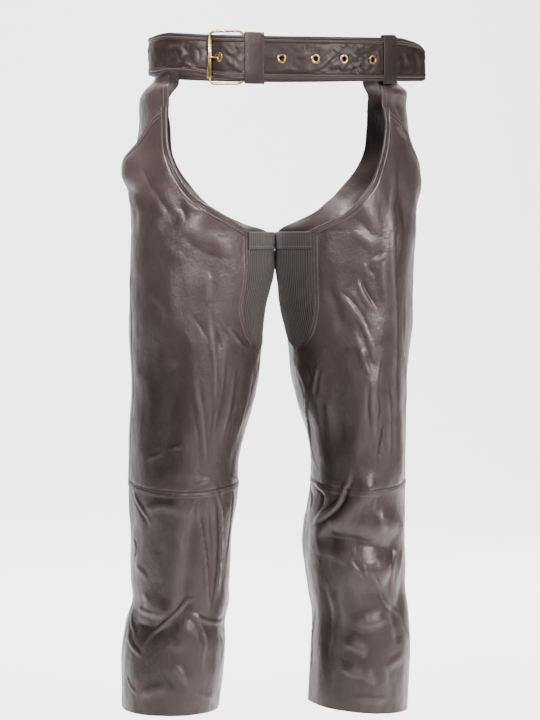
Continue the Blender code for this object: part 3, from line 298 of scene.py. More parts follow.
# Creases on the sides and back: points of turn and height, half width, rise, share sunk beside it
HIDDEN_CREASES = {
    "right": [
        ([(120, -170), (150, -215), (176, -240)], 8, 2.2, 0.5),
        ([(112, -230), (140, -262), (172, -276), (210, -282)], 7, 2.6, 0.6),
        ([(150, -300), (175, -316), (205, -322), (232, -318)], 6, 2.4, -0.7),
        ([(120, -330), (132, -420), (128, -520)], 8, 2.0, 0.6),
        ([(168, -360), (176, -450), (170, -540)], 9, 2.4, 0.5),
        ([(208, -400), (214, -480), (206, -570)], 6, 2.2, 0.7),
        ([(122, -596), (150, -612), (188, -604), (226, -590)], 6, 3.0, 0.7),
        ([(132, -652), (160, -668), (196, -664), (238, -646)], 5, 3.4, -0.7),
        ([(118, -688), (150, -704), (190, -710), (230, -690)], 6, 3.0, 0.7),
        ([(150, -728), (182, -742), (222, -736)], 5, 2.6, -0.8),
        ([(196, -640), (204, -700), (198, -770)], 5, 2.2, 0.7),
        ([(126, -770), (150, -796), (184, -806)], 5, 2.8, 0.7),
        ([(160, -822), (196, -842), (240, -830)], 5, 3.6, -0.8),
        ([(112, -824), (132, -846), (162, -862)], 5, 3.2, 0.7),
        ([(186, -866), (214, -884), (244, -880)], 6, 2.8, 0.6),
        ([(130, -890), (160, -912), (194, -922)], 7, 2.8, 0.5),
        ([(102, -700), (108, -740), (102, -780)], 4, 2.0, 0.7),
        ([(252, -640), (256, -700), (250, -760)], 5, 2.2, -0.7),
        ([(246, -480), (250, -540), (246, -600)], 5, 2.0, 0.6),
    ],
    "left": [
        ([(118, -165), (146, -205), (172, -236)], 8, 2.2, 0.5),
        ([(116, -236), (146, -256), (180, -272), (214, -284)], 7, 2.6, -0.6),
        ([(142, -292), (170, -306), (206, -310), (236, -306)], 6, 2.2, 0.7),
        ([(116, -340), (124, -430), (118, -510)], 8, 2.2, -0.6),
        ([(160, -340), (166, -440), (176, -530)], 9, 2.4, 0.5),
        ([(210, -380), (204, -470), (212, -560)], 6, 2.2, -0.7),
        ([(128, -606), (160, -600), (196, -610), (230, -600)], 6, 2.8, 0.7),
        ([(126, -662), (162, -656), (200, -668), (240, -660)], 5, 3.6, -0.7),
        ([(116, -700), (146, -688), (186, -698), (226, -708)], 6, 3.2, 0.7),
        ([(140, -742), (176, -732), (214, -744)], 5, 2.6, -0.8),
        ([(206, -650), (198, -712), (206, -780)], 5, 2.2, -0.7),
        ([(122, -780), (154, -790), (190, -782)], 5, 2.8, 0.7),
        ([(150, -836), (186, -828), (230, -842)], 5, 3.4, -0.8),
        ([(110, -812), (130, -838), (158, -850)], 5, 3.0, 0.7),
        ([(180, -876), (210, -868), (240, -882)], 6, 2.8, 0.6),
        ([(124, -900), (156, -892), (192, -908)], 7, 2.8, 0.5),
        ([(104, -720), (108, -756), (103, -790)], 4, 2.0, 0.7),
        ([(250, -660), (256, -720), (250, -790)], 5, 2.2, 0.7),
        ([(244, -470), (250, -530), (244, -600)], 5, 2.0, -0.6),
    ],
}

# Gentle unevenness of each leg's hide: seed, rise, size, on a lattice of random values
HIDE_WANDER = {"right": [(11, 2.6, 42), (12, 0.7, 14)], "left": [(23, 2.6, 42), (24, 0.7, 14)]}
LEG_ROUND = 95.0
LATTICE_VALUES = 4096
LATTICE_SHIFT = 100.5
LATTICE_STRIDES = (73, 179, 283)

# How far the hip leather stands out below the belt, and where the two legs all but meet below the crotch
HIP_SPREAD = {"right": 2.0, "left": 6.0}
LEGS_MEET = 5.0
LEGS_MEET_REACH = 16.0
# How far each leg is drawn to the other there: height, shift
LEGS_DRAWN = {
    "right": np.array([
        (-368, 0), (-340, 1.5), (-322, 3.6), (-312, 4.8), (-292, 4.6), (-285, 2.8), (-262, 2.2),
    ]),
    "left": np.array([
        (-368, 0), (-345, 1.0), (-322, 3.2), (-312, 4.0), (-292, 3.4), (-285, 1.6), (-262, 0.4),
    ]),
}

# ---- Panels, bands and stitches of the legs ----

ROW_STEPS = {"front": 2.2, "back": 3.0}
END_LINES = np.array([0.0, 0.8, 1.8, 3.2])
SEAM_DROP = 0.9
SEAM_REACH = 1.9
# Each panel's grid: length, width, and how far its edges sink at their seams
PANEL_GRIDS = {
    "front_upper": (480, 245, {"end": SEAM_DROP, "bottom": SEAM_DROP}),
    "back_upper": (615, 270, {"start": SEAM_DROP, "bottom": SEAM_DROP}),
    "front_lower": (345, 235, {"start": SEAM_DROP, "end": SEAM_DROP, "top": 0.5}),
    "back_lower": (345, 262, {"start": SEAM_DROP, "end": SEAM_DROP, "top": 0.5}),
}
PUCKER_SIZE = 5.0
PUCKER_REACH = 7.0
# Ripples beside each panel's seams: edge, edge that the ripples run from, seed, rise
PUCKERS = {
    "front_upper": [("start", "top", 53, 0.55), ("bottom", "start", 54, 0.55), ("end", "top", 55, 0.35)],
    "back_upper": [("end", "top", 56, 0.55), ("bottom", "start", 57, 0.55)],
    "front_lower": [("top", "start", 51, 0.55), ("bottom", "start", 52, 0.4)],
    "back_lower": [("top", "start", 51, 0.55), ("bottom", "start", 52, 0.4)],
}
# Rows of stitches, by distance from the edge
STRETCH_ROWS = (2.4, 7.4)
KNEE_ROWS = (1.8, 7.6)
FACING_ROW = 9.0
# The stitched folds beside these seams: width, rise
STRETCH_FOLD = (9.0, 0.8)
KNEE_FOLD = (9.5, 0.75)
FACING_FOLD = (11.0, 0.8)
FACING_GRID = (130, 100)
EDGE_BAND_LINES = np.array([0, 0.6, 1.2, 1.8, 2.4, 3.2, 4.4, 5.8, 7.2, 8.2, 8.8, 9.4, 10.4, 11.2, 11.7, 12.0])
EDGE_BAND_ROW = 10
EDGE_BAND_STEP = 2.6
EDGE_BAND_TOPS = {"front": -81.0, "back": BELOW_BELT + 2}
POCKET_BAND_LINES = np.array([0.0, 0.6, 1.3, 2.2, 3.4, 4.6, 6.0, 7.4, 8.4, 9.2, 9.8, 10.2])
POCKET_BAND_ROWS = (4, 8)
RIB_PITCH = 4.3
RIB_RISE = 1.35
RIB_BASE = 1.0
RIB_COLUMNS = 8
RIB_ROWS = 46
STRETCH_MIDDLE = -70.0
STRETCH_DETAIL = 0.5
HEM_FOLD_STAND = RIB_BASE + RIB_RISE + 0.55
HEM_FOLD_LINES = np.array([0, 0.4, 1, 2, 5, 9, 13, 17, 20.6, 21.4, 22.2, 23.6, 25, 25.6, 26])
HEM_FOLD_ROW = 9
STITCH_PITCH = 3.4
STITCH_TURNS = np.radians([45, 135, 225, 315])
# Along one stitch: place, radius, lift
STITCH_OFFSETS, STITCH_RADII, STITCH_LIFTS = np.array([
    (-1.25, 0.125, -0.15), (-0.75, 0.5, 0.22), (0.75, 0.5, 0.22), (1.25, 0.125, -0.15),
]).T

# ---- Belt, buckle and trim ----

BUCKLE_ALONG = -83.0
BUCKLE_HALF_LENGTH = 24.0
BUCKLE_HALF_HEIGHT = 37.5
BUCKLE_CORNER = 8.0
BUCKLE_WIRE = 2.0
ROLLER_LIFT = 8.1
HEEL_LIFT = 6.4
ROLLER_OUTER = 3.9
ROLLER_INNER = 2.5
ROLLER_END_GAP = 0.5
PRONG_RADIUS = 1.2
PRONG_SLOT = 4.6
LOOP_HALF_WALL = 0.9
LOOP_LINES = 43
# The prong's slot in the loop, between two of its lines
SLOT_LINES = (9, 33)
LOOP_GROWS = 6
UP = np.array([0.0, 0.0, 1.0])
# Flat sides of what is round, and the angle past which brass shows an edge
EYELET_SIDES, CUTTER_SIDES, WIRE_SIDES, ROLLER_SIDES, PRONG_SIDES, EYE_SIDES = 32, 24, 20, 40, 16, 28
PRONG_LINES = 60
CORNER_LINES = 13
BRASS_SHARP = 50
CUTTER_LENGTH = 14.0

# Strap past the buckle: along the belt from the buckle, lift of the strap's middle
STRAP_LIFTS = np.array([
    (-400, 3.5), (-60, 3.5), (-40, 2.6), (-28, 1.6), (-20, 2.2), (-14, 4.2), (-8, 6.6), (0, 8.6), (10, 10.3),
    (20, 12.3), (27, 13.0), (36, 12.7), (50, 11.5), (66, 9.8), (95, 8.0), (130, 7.9), (400, 7.9),
], float)
HEEL_LOOP = np.array([
    (58, 7.3), (46, 7.8), (36, 9.0), (30, 9.9), (25.5, 10.0), (22.6, 9.5), (20.9, 7.9), (20.5, 6.2),
    (21.0, 4.6), (22.7, 3.2), (25.5, 2.9), (31, 3.0), (40, 3.2), (50, 3.4), (64, 3.5),
], float)
# The prong: places along the belt from the buckle, and lifts
PRONG_PATH = [
    (21.2, 5.6), (16, 5.2), (8, 4.2), (0, 3.3), (-4, 3.1), (-6.4, 3.6), (-8.4, 5.2), (-10.6, 8.0),
    (-13, 10.4), (-16.5, 12.4), (-20, 13.5), (-25.5, 13.6),
]
# Share of its length and share of its radius
PRONG_TAPER = ([0, 0.1, 0.9, 0.97, 1.0], [0.9, 1.05, 1.0, 0.85, 0.5])
# The prong's eye round the heel bar: radius past the bar, lift
PRONG_EYE = [
    (1.7, 1.2), (1.7, -1.2), (1.2, -1.6), (0.5, -1.6), (0.3, -1.2), (0.3, 1.2), (0.5, 1.6), (1.2, 1.6),
]
EYELET_ALONG = [-93.0, -5.5, 42.5, 85.0, 132.0]
EYELET_CUT = 4.6
# An eyelet's section: radius, lift from the strap's middle
EYELET_PROFILE = [
    (3.5, 2.25), (3.8, 2.95), (4.5, 3.4), (5.3, 3.45), (6.2, 3.15), (7.0, 2.6), (7.2, 2.15), (6.9, 1.85),
    (4.2, 1.85), (4.1, -BELT_WALL / 2), (3.5, -BELT_WALL / 2),
]
KEEPER_WALL = 1.3
KEEPER_FRONT_GAP = 0.8
KEEPER_CORNER = 1.3
KEEPER_SIDES = 72
KEEPER_LINES = np.array([
    0, 0.015, 0.04, 0.08, 0.12, 0.16, 0.25, 0.4, 0.5, 0.6, 0.75, 0.84, 0.88, 0.92, 0.96, 0.985, 1,
])
# Each keeper: start and end along the belt, half height, lift of its back
KEEPERS = {"first": (-56.5, -29.5, 37.0, 0.4), "second": (153.0, 180.0, 36.0, 1.7)}
BUCKLE_HALF_LIFTS = np.array([(-20, 3.5), (128, 3.5), (148, 4.9), (186, 4.9), (206, 3.5), (600, 3.5)], float)
# The buckle half across its width, split at the prong's slot: share of the half width, rounding of the edge
BUCKLE_HALF_LINES = np.array([-0.97, -0.95, -0.88, -0.7, -0.5, -0.3, -2 * PRONG_SLOT / BELT_WIDTH,
                              2 * PRONG_SLOT / BELT_WIDTH, 0.3, 0.5, 0.7, 0.88, 0.95, 0.97])
BUCKLE_HALF_ROUNDING = np.array([0.45, 0.15, 0, 0, 0, 0, 0, 0, 0, 0, 0, 0, 0.15, 0.45])
STRAP_LEAVES = 140.0
TAIL_BEND = 0.0009
# How far the belt's top and bottom edges reach, as a share of its half width, by length along the belt.
# It is pinched a little at the wearer's right hip, and the free end's top corner is cut on a slant.
HIP_TOP = np.array([
    (-330, 1.0), (-290, 0.87), (-250, 0.74), (-222, 0.75), (-203, 0.85), (-190, 0.93), (-176, 1.0),
])
HIP_LOW = np.array([
    (-206, 1.0), (-190, 0.91), (-178, 0.79), (-163, 0.72), (-140, 0.75), (-104, 0.88), (-66, 1.0),
])
TAIL_TOP = np.array([(190, 1.0), (208, 0.91), (225, 0.81), (236, 0.70), (244, 0.57), (248.5, 0.42)])
TAIL_LOW = np.array([(238, 1.0), (244, 0.985), (248.5, 0.93)])
TAIL_END = TAIL_TOP[-1, 0]

# The belt's outer face: share of the half height, rise in millimetres
BELT_PROFILE = np.array([
    (-1.0, -1.3), (-0.985, -0.55), (-0.95, 0.15), (-0.90, 0.6), (-0.87, 0.2), (-0.85, -0.5), (-0.83, 0.2),
    (-0.78, 1.15), (-0.73, 1.2), (-0.68, 0.2), (-0.65, -0.5), (-0.58, 0.0), (-0.52, 0.08), (-0.45, 0.15),
    (-0.38, 0.2), (-0.31, 0.25), (-0.24, 0.28), (-0.17, 0.3), (-0.1, 0.3), (-0.03, 0.3), (0.03, 0.3),
    (0.1, 0.3), (0.17, 0.3), (0.24, 0.28), (0.31, 0.25), (0.38, 0.2), (0.45, 0.15), (0.52, 0.08),
    (0.6, 0.0), (0.65, -0.2), (0.68, -0.5), (0.71, 0.2), (0.75, 1.15), (0.79, 1.1), (0.83, 0.2),
    (0.85, -0.5), (0.87, 0.2), (0.90, 0.6), (0.95, 0.15), (0.985, -0.55), (1.0, -1.3),
], float)
BELT_ROWS = (6, len(BELT_PROFILE) - 7)
BELT_STEP = 2.0
# Unevenness of the belt: seed, rise, size
BELT_WANDER = (5, 0.8, 12)
BELT_SWELL = (6, 0.4, 40)
BELT_CRINKLES = ((7, 3.4, 11), (8, 2.4, 13))
TAIL_STEP = 1.2
TAIL_FINE = 12.0

# Where the belt is finely crinkled: middle, half length, strength
BELT_CRINKLED = [
    (98.0, 45.0, 1.0), (-74.0, 12.0, 0.5), (-150.0, 26.0, 0.6), (300.0, 30.0, 0.6), (400.0, 60.0, 0.6),
]
# Small creases of the belt: points along it and up it, half width, rise
BELT_CREASES = [
    ([(-178, 8), (-164, 14), (-150, 12)], 3.0, 1.0), ([(-186, -16), (-168, -19), (-146, -14)], 3.0, -1.3),
    ([(-150, -6), (-138, -14), (-122, -18)], 2.5, 0.9), ([(-158, 16), (-150, 4), (-154, -8)], 2.5, 0.8),
    ([(-132, 14), (-124, 4), (-126, -8)], 2.5, -0.8), ([(-112, 16), (-104, 8)], 2.5, 0.7),
    ([(-84, 14), (-74, 6), (-66, 12)], 2.6, 0.9), ([(-84, -4), (-72, -10), (-64, -18)], 2.6, 0.9),
    ([(30, 12), (22, 4), (14, 6)], 2.5, 0.7), ([(36, -18), (52, -10), (66, 2), (80, 12)], 2.6, 1.0),
    ([(62, -16), (76, -8), (90, -12)], 2.5, 0.9), ([(90, 16), (98, 6), (112, 2)], 2.5, 0.9),
    ([(100, -16), (110, -10), (122, -14)], 2.5, -0.8), ([(112, 14), (124, 10)], 2.5, 0.7),
    ([(138, 14), (144, 4), (140, -10)], 2.5, 0.7), ([(190, 14), (202, 2), (198, -14)], 3.5, 1.0),
    ([(222, 12), (232, -4), (228, -16)], 4.0, 0.9), ([(-8, -18), (4, -14), (18, -17)], 2.5, 0.6),
    ([(-250, 14), (-236, 2), (-244, -14)], 3.5, 0.9), ([(-300, -14), (-284, -2), (-290, 14)], 3.5, 0.9),
    ([(330, 14), (344, 0), (338, -14)], 3.5, 0.9), ([(400, -14), (414, 2), (408, 14)], 3.5, 0.8),
    ([(470, 12), (484, -4), (480, -14)], 3.5, 0.9), ([(-370, 12), (-356, -4), (-362, -14)], 3.5, 0.8),
]

# ---- Colours, textures and light ----

HIDE_COLOURS = ((0.0195, 0.0122, 0.0114), (0.0320, 0.0218, 0.0208))
TRIM_COLOURS = ((0.0155, 0.0094, 0.0088), (0.0260, 0.0170, 0.0161))
BELT_COLOURS = ((0.0085, 0.0049, 0.0046), (0.0160, 0.0100, 0.0094))
KNIT_COLOURS = ((0.0115, 0.0085, 0.0074), (0.0205, 0.0156, 0.0134))
BRASS_COLOURS = ((0.10, 0.060, 0.022), (0.38, 0.265, 0.108))
THREAD_COLOUR = (0.115, 0.080, 0.070)
HIDE_REFLECTS = (1.0, 0.88, 0.86, 1.0)
# Noises: scale, detail, roughness, and for clouds the values that the blend starts and ends at
HIDE_CLOUDS = (9.0, 5.0, 0.6, 0.34, 0.66)
HIDE_MOTTLE = (60.0, 4.0, 0.6, 0.3, 0.7)
HIDE_WRINKLES = (160.0, 6.0, 0.62)
KNIT_CLOUDS = (240.0, 3.0, 0.6, 0.3, 0.7)
BRASS_CLOUDS = (130.0, 5.0, 0.65, 0.36, 0.62)
BRASS_SCRATCHES = (900.0, 3.0, 0.6)
THREAD_CLOUDS = (500.0, 2.0, 0.55, 0.3, 0.7)
# Blends of a colour: the values where it starts and ends, and its shares there
MOTTLE_BLEND = (0.0, 1.0, 0.0, 0.35)
# Painted highlight: the colour is lightened on crests
CREST_PAINTED_HIGHLIGHT_BLEND = (0.15, 1.0, 0.0, 0.5)
# Painted shade: the colour is darkened in troughs
TROUGH_PAINTED_SHADE_BLEND = (-0.1, -1.0, 0.0, 0.75)
# Painted shade: the knit is darkened between its ribs
KNIT_GAP_PAINTED_SHADE_BLEND = (0.3, -1.0, 0.0, 1.0)
# Painted highlight: the knit is lightened on its ribs
KNIT_RIDGE_PAINTED_HIGHLIGHT_BLEND = (0.3, 0.8, 0.0, 0.8)
HIDE_PEBBLES = 620.0
KNIT_PEBBLES = 900.0
HIDE_ROUGHNESS = 0.39
BELT_ROUGHNESS = 0.46
PAPER_COLOUR = (0.93, 0.93, 0.93, 1.0)
WORLD_STRENGTH = 0.07
SPOT_RADIUS = 0.25
# Lights in metres: place, aim, size (or degrees for a spot), power
PART_MIDDLE = (0, 0, -0.5)
SOFT_LIGHTS = {
    "key": ((1.9, -2.3, 0.8), PART_MIDDLE, (0.7, 0.9), 205),
    "fill": ((-0.6, -3.2, 0.1), PART_MIDDLE, (1.2, 1.2), 24),
    "back": ((0.5, 2.8, 1.4), PART_MIDDLE, (2.4, 2.2), 3),
    "paper": ((0, 1.6, 3.6), (0, 4.8, -0.8), (6, 2.5), 1400),
}
SPOT_LIGHTS = {
    "hip_right": ((-1.3, -2.5, 1.1), (-0.19, -0.06, -0.04), 9, 3500),
    "hip_left": ((1.0, -2.6, 1.4), (0.17, -0.06, -0.24), 9, 260),
}
# The floor and the backdrop that it curves up into, in metres
FLOOR_HALF = 9.0
FLOOR_LEVEL = -1.22
FLOOR_FRONT = -1.4
BACKDROP = 7.0
BACKDROP_TOP = 8.0
BACKDROP_BEND = 3.0

# ---- Curves and surfaces ----


def bell(distance, reach):
    """1 at no distance, and smoothly less further away."""
    return np.exp(-((distance / reach) ** 2))


def smooth_step(share):
    share = np.clip(share, 0.0, 1.0)
    return share * share * (3 - 2 * share)


def unit(vectors):
    return vectors / np.linalg.norm(vectors, axis=-1, keepdims=True)


def run_along(line):
    """Length along a line of points, from its first."""
    return np.concatenate([[0], np.cumsum(np.linalg.norm(np.diff(line, axis=0), axis=1))])


def read_table(rows, at):
    """The other columns of a table at some values of its first, on a smooth curve through the rows."""
    rows = rows[np.argsort(rows[:, 0])]
    key, values = rows[:, 0], rows[:, 1:]
    slopes = np.gradient(values, key, axis=0)
    at = np.clip(np.asarray(at, float), key[0], key[-1])
    low = np.clip(np.searchsorted(key, at, side="right") - 1, 0, len(key) - 2)
    span = key[low + 1] - key[low]
    t = ((at - key[low]) / span)[..., None]
    span = span[..., None]
    return (
        (2 * t**3 - 3 * t**2 + 1) * values[low]
        + (t**3 - 2 * t**2 + t) * span * slopes[low]
        + (3 * t**2 - 2 * t**3) * values[low + 1]
        + (t**3 - t**2) * span * slopes[low + 1]
    )


def straight_table(rows, at):
    rows = rows[np.argsort(rows[:, 0])]
    return np.interp(at, rows[:, 0], rows[:, 1])


def smooth_line(points, count):
    """A smooth curve through a few points, evenly sampled by its point number."""
    points = np.asarray(points, float)
    if len(points) < 3:
        share = np.linspace(0, 1, count)[:, None]
        return points[0] * (1 - share) + points[-1] * share
    table = np.concatenate([np.arange(len(points))[:, None], points], axis=1)
    return read_table(table, np.linspace(0, len(points) - 1, count))


def plain_surface(side, turn, height):
    """Points on the inside of a leg without its folds."""
    turn, height = np.broadcast_arrays(np.asarray(turn, float), np.asarray(height, float))
    sign = SIDES[side]
    angle = np.radians(turn)
    hip = read_table(HIP_SECTIONS, height)
    leg = read_table(LEG_SECTIONS[side], height)
    hip_x = sign * hip[..., 0] * np.sin(angle) + hip[..., 2]
    hip_y = hip[..., 3] - hip[..., 1] * np.cos(angle)
    half_width = (leg[..., 0] - leg[..., 1]) / 2 - WALL
    leg_x = sign * ((leg[..., 0] + leg[..., 1]) / 2 + half_width * np.sin(angle))
    leg_y = leg[..., 3] - (leg[..., 2] - WALL) * np.cos(angle)
    share = smooth_step((HIP_END - height) / (HIP_END - CROTCH))
    return np.stack([hip_x + (leg_x - hip_x) * share, hip_y + (leg_y - hip_y) * share, height], axis=-1)


def outward(side, turn, height):
    """Unit normals of the plain surface, away from the leg."""
    along = plain_surface(side, turn + 0.5, height) - plain_surface(side, turn - 0.5, height)
    up = plain_surface(side, turn, height + 1.0) - plain_surface(side, turn, height - 1.0)
    return unit(np.cross(along, up) * SIDES[side])


def unwound(turn):
    """Turns that run on past the back to the inner side."""
    return np.where(turn < BACK_TURN, turn + 360, turn)


def fold_rise(side, turn, height):
    """How far the large folds push the leather outward."""
    rise = np.zeros(np.shape(turn))
    for z0, t0, z1, t1, width, amount in FOLDS[side]:
        run = np.array([(t1 - t0) * TURN_LENGTH, z1 - z0])
        across = np.stack([(unwound(turn) - t0) * TURN_LENGTH, height - z0], axis=-1)
        share = across @ run / (run @ run)
        nearest = np.clip(share, 0, 1)[..., None] * run
        rise += amount * bell(np.linalg.norm(across - nearest, axis=-1), width)
    return rise


def near_line(line, reach, across, up):
    """Which places lie round a line, and there the distance, the side and the share of the way along it."""
    near = (across > line[:, 0].min() - reach) & (across < line[:, 0].max() + reach)
    near &= (up > line[:, 1].min() - reach) & (up < line[:, 1].max() + reach)
    place = np.stack([across[near], up[near]], axis=-1)
    best = np.full(len(place), np.inf)
    signed = np.zeros(len(place))
    where = np.zeros(len(place))
    run = run_along(line)
    for k in range(len(line) - 1):
        step = line[k + 1] - line[k]
        length = max(np.linalg.norm(step), 1e-6)
        away = place - line[k]
        share = np.clip(away @ step / length**2, 0, 1)
        distance = np.linalg.norm(away - share[:, None] * step, axis=1)
        closer = distance < best
        best = np.where(closer, distance, best)
        signed = np.where(closer, (step[0] * away[:, 1] - step[1] * away[:, 0]) / length, signed)
        where = np.where(closer, run[k] + share * length, where)
    return near, best, signed, where / run[-1]


def crease_rise(line, width, amount, beside, across, up):
    """Rise of one crease at places across and up the leather: a rounded ridge with a trough beside it."""
    rise = np.zeros(np.shape(across))
    near, best, signed, where = near_line(line, width * 4.5, across, up)
    taper = 0.06 + 0.94 * smooth_step(where / 0.35) * smooth_step((1 - where) / 0.35)
    sunk = bell(best * np.sign(signed * -beside) - 1.7 * width, 1.2 * width)
    rise[near] = amount * taper * (bell(best, width) - abs(beside) * 0.55 * sunk)
    return rise


def drop_rise(line, above, below, amount, across, up):
    """Rise of a fold that bulges above a line and falls away quickly below it."""
    rise = np.zeros(np.shape(across))
    near, best, signed, where = near_line(line, above * 3, across, up)
    is_above = smooth_step(0.5 + signed * np.sign(line[-1, 0] - line[0, 0]) / 3.0)
    taper = 0.05 + 0.95 * smooth_step(where / 0.45) * smooth_step((1 - where) / 0.3)
    rise[near] = amount * taper * bell(best, below + (above - below) * is_above)
    return rise


def wander(places, seed, amount, size):
    """Gentle unevenness of a hide: smooth noise on a lattice of the given size."""
    table = np.random.default_rng(seed).uniform(-1, 1, LATTICE_VALUES)
    total = np.zeros(places.shape[:-1])
    for octave, weight in ((1.0, 0.7), (0.5, 0.3)):
        spot = places / (size * octave) + LATTICE_SHIFT
        cell = np.floor(spot).astype(int)
        part = smooth_step(spot - cell)
        for corner in np.ndindex(*[2] * places.shape[-1]):
            share = np.ones(total.shape)
            key = np.full(total.shape, seed)
            for axis, step in enumerate(corner):
                share = share * (part[..., axis] if step else 1 - part[..., axis])
                key = key * 31 + (cell[..., axis] + step) * LATTICE_STRIDES[axis]
            total += weight * share * table[(key * 7919 >> 3) % LATTICE_VALUES]
    return total * amount


def drawn_places(side):
    """A table of the leg's front: place in the drawing, and the leather's own turn and height there."""
    turn, height = np.meshgrid(np.arange(-100, 100.1, 0.5), np.arange(-1000, -40, 2.0))
    normals = outward(side, turn, height)
    points = plain_surface(side, turn, height) + normals * (WALL + fold_rise(side, turn, height))[..., None]
    view = points - EYE
    facing = np.sum(view * normals, axis=-1) < 0
    ahead = np.array([-math.sin(CAMERA_TURN), math.cos(CAMERA_TURN), 0.0])
    right = np.array([math.cos(CAMERA_TURN), math.sin(CAMERA_TURN), 0.0])
    scale = CAMERA_DISTANCE / (view @ ahead)
    across = DRAWING_ZERO[0] + (view @ right * scale + AIM[0] * right[0]) / DRAWING_SQUARE
    down = DRAWING_ZERO[1] - (EYE[2] + view[..., 2] * scale) / DRAWING_SQUARE
    return across[facing], down[facing], turn[facing], height[facing]


def placed_line(points, places):
    """A drawn line as distance round the leg and height."""
    across, down, turn, height = places
    nearest = [np.argmin((across - x) ** 2 + (down - y) ** 2) for x, y in points]
    found = [(turn[k] * TURN_LENGTH, height[k]) for k in nearest]
    return smooth_line(found, 8 * len(found))


def placed_folds(side):
    """The creases and the hanging folds of a leg, each with its line as distance round the leg and height."""
    places = drawn_places(side)
    creases = [(placed_line(points, places), width, amount, -SIDES[side] * beside)
               for points, width, amount, beside in FRONT_CREASES[side]]
    for points, *sizes in HIDDEN_CREASES[side]:
        creases.append((smooth_line([(t * TURN_LENGTH, h) for t, h in points], 5 * len(points)), *sizes))
    drops = [(placed_line(points, places), *sizes) for points, *sizes in FRONT_DROPS[side]]
    return creases, drops


PLACED_FOLDS = {side: placed_folds(side) for side in SIDES}


def belt_dip(turn):
    """How far the belt's middle line lies below its level at the sides."""
    return FRONT_DIP * np.clip(np.cos(turn), 0, 1) ** 1.5


def spread_below_belt(side, turn, height):
    """The hip leather stands out at once below the belt at the outer side."""
    dip_turn = np.radians(turn * (LEFT_DIP_SPREAD if side == "left" else 1.0))
    belt_edge = BELT_LEVEL - belt_dip(dip_turn) - BELT_WIDTH / 2
    shown = smooth_step((belt_edge - 1.5 - height) / 15) * smooth_step((height + 80) / 28)
    rise = HIP_SPREAD[side] * shown * smooth_step((turn - 40) / 25) * smooth_step((150 - turn) / 30)
    return unit(outward(side, turn, height) * np.array([1.0, 1.0, 0.0])) * rise[..., None]


def draw_together(side, points, height):
    """Level shift that brings the two legs close together just below the crotch."""
    shift = np.zeros_like(points)
    pull = straight_table(LEGS_DRAWN[side], height)
    shift[..., 0] = -SIDES[side] * pull * bell(points[..., 0] - LEGS_MEET, LEGS_MEET_REACH)
    return shift


def detail_rise(side, turn, height):
    """Creases, hanging folds and unevenness of the leather."""
    across = unwound(turn) * TURN_LENGTH
    creases, drops = PLACED_FOLDS[side]
    rise = np.zeros(np.shape(turn))
    for crease in creases:
        rise += crease_rise(*crease, across, height)
    for drop in drops:
        rise += drop_rise(*drop, across, height)
    around = np.radians(turn)
    level = np.stack([np.sin(around), np.cos(around)], axis=-1) * LEG_ROUND
    places = np.concatenate([level, (height * 0.6 + 0 * turn)[..., None]], axis=-1)
    for seed, amount, size in HIDE_WANDER[side]:
        rise += wander(places, seed, amount, size)
    return rise * smooth_step((-34 - height) / 12)


def surface(side, turn, height, detail=1.0):
    """Inner points, outward normals and the rise of the small creases."""
    points = plain_surface(side, turn, height)
    normals = outward(side, turn, height)
    small = detail_rise(side, turn, height) * detail
    points = points + normals * (fold_rise(side, turn, height) + small)[..., None]
    points = points + spread_below_belt(side, turn, height) + draw_together(side, points, height)
    return points, normals, small


def degrees_for(side, turn, height, length):
    """How much turn covers a length on the leg's surface."""
    move = plain_surface(side, turn + 1.0, height) - plain_surface(side, turn, height)
    return length / np.linalg.norm(move, axis=-1)


def turn_of_front_edge(side, height):
    """The turn at which the front edge of the seat opening lies, above the crotch."""
    wanted = read_table(FRONT_EDGE[side], height)[..., 0]
    low = np.full(np.shape(wanted), -75.0)
    high = np.full(np.shape(wanted), 88.0)
    for _ in range(30):
        middle = (low + high) / 2
        inside = SIDES[side] * plain_surface(side, middle, height)[..., 0] < wanted
        low = np.where(inside, middle, low)
        high = np.where(inside, high, middle)
    return (low + high) / 2


def inner_edge(side, part, height):
    """Turn of a front or back panel's inner edge: seat opening, stretch panel, then inner seam."""
    if part == "front":
        above = turn_of_front_edge(side, np.maximum(height, CROTCH))
        column, lap = 1, 0
    else:
        above = read_table(BACK_EDGE, height)[..., 0]
        column, lap = 2, 360
    stretch = straight_table(STRETCH_EDGES[:, [0, column]], height) + lap
    seam = read_table(INSEAM, height)[..., 0] + lap
    return np.where(height > CROTCH, above, np.where(height > STRETCH_BOTTOM, stretch, seam))


def side_edge(side, height):
    return read_table(SIDE_SEAM[side], height)[..., 0]


def pocket_mouth(share):
    return read_table(POCKET_MOUTH, share)[..., 0]


def knee_height(turn):
    return KNEE - KNEE_DIP * np.cos(np.radians(turn))


def hem_height(side, turn):
    middle, slant = HEM[side]
    return middle + slant * np.sin(np.radians(turn))


# ---- Materials ----


def set_inputs(tree, made, **inputs):
    """Sets or links some inputs of a shader node. An underscore stands for a space."""
    for name, value in inputs.items():
        socket = made.inputs[name.replace("_", " ")]
        if isinstance(value, bpy.types.NodeSocket):
            tree.links.new(value, socket)
        else:
            socket.default_value = value


def node(tree, kind, **inputs):
    made = tree.nodes.new(kind)
    set_inputs(tree, made, **inputs)
    return made


def noise(tree, place, scale, detail, rough):
    made = node(tree, "ShaderNodeTexNoise", Vector=place, Scale=scale, Detail=detail, Roughness=rough)
    return made.outputs["Fac"]


def ramp(tree, value, low, high, to_low=0.0, to_high=1.0):
    made = node(tree, "ShaderNodeMapRange", Value=value, From_Min=low, From_Max=high)
    set_inputs(tree, made, To_Min=to_low, To_Max=to_high)
    return made.outputs["Result"]


def clouds(tree, place, scale, detail, rough, low, high):
    return ramp(tree, noise(tree, place, scale, detail, rough), low, high)


def crest_height(tree):
    """How much a place stands above what is round it, from -1 to 1. The materials paint highlight and shade
    from it.
    """
    made = tree.nodes.new("ShaderNodeAttribute")
    made.attribute_name = "crest"
    return made.outputs["Fac"]


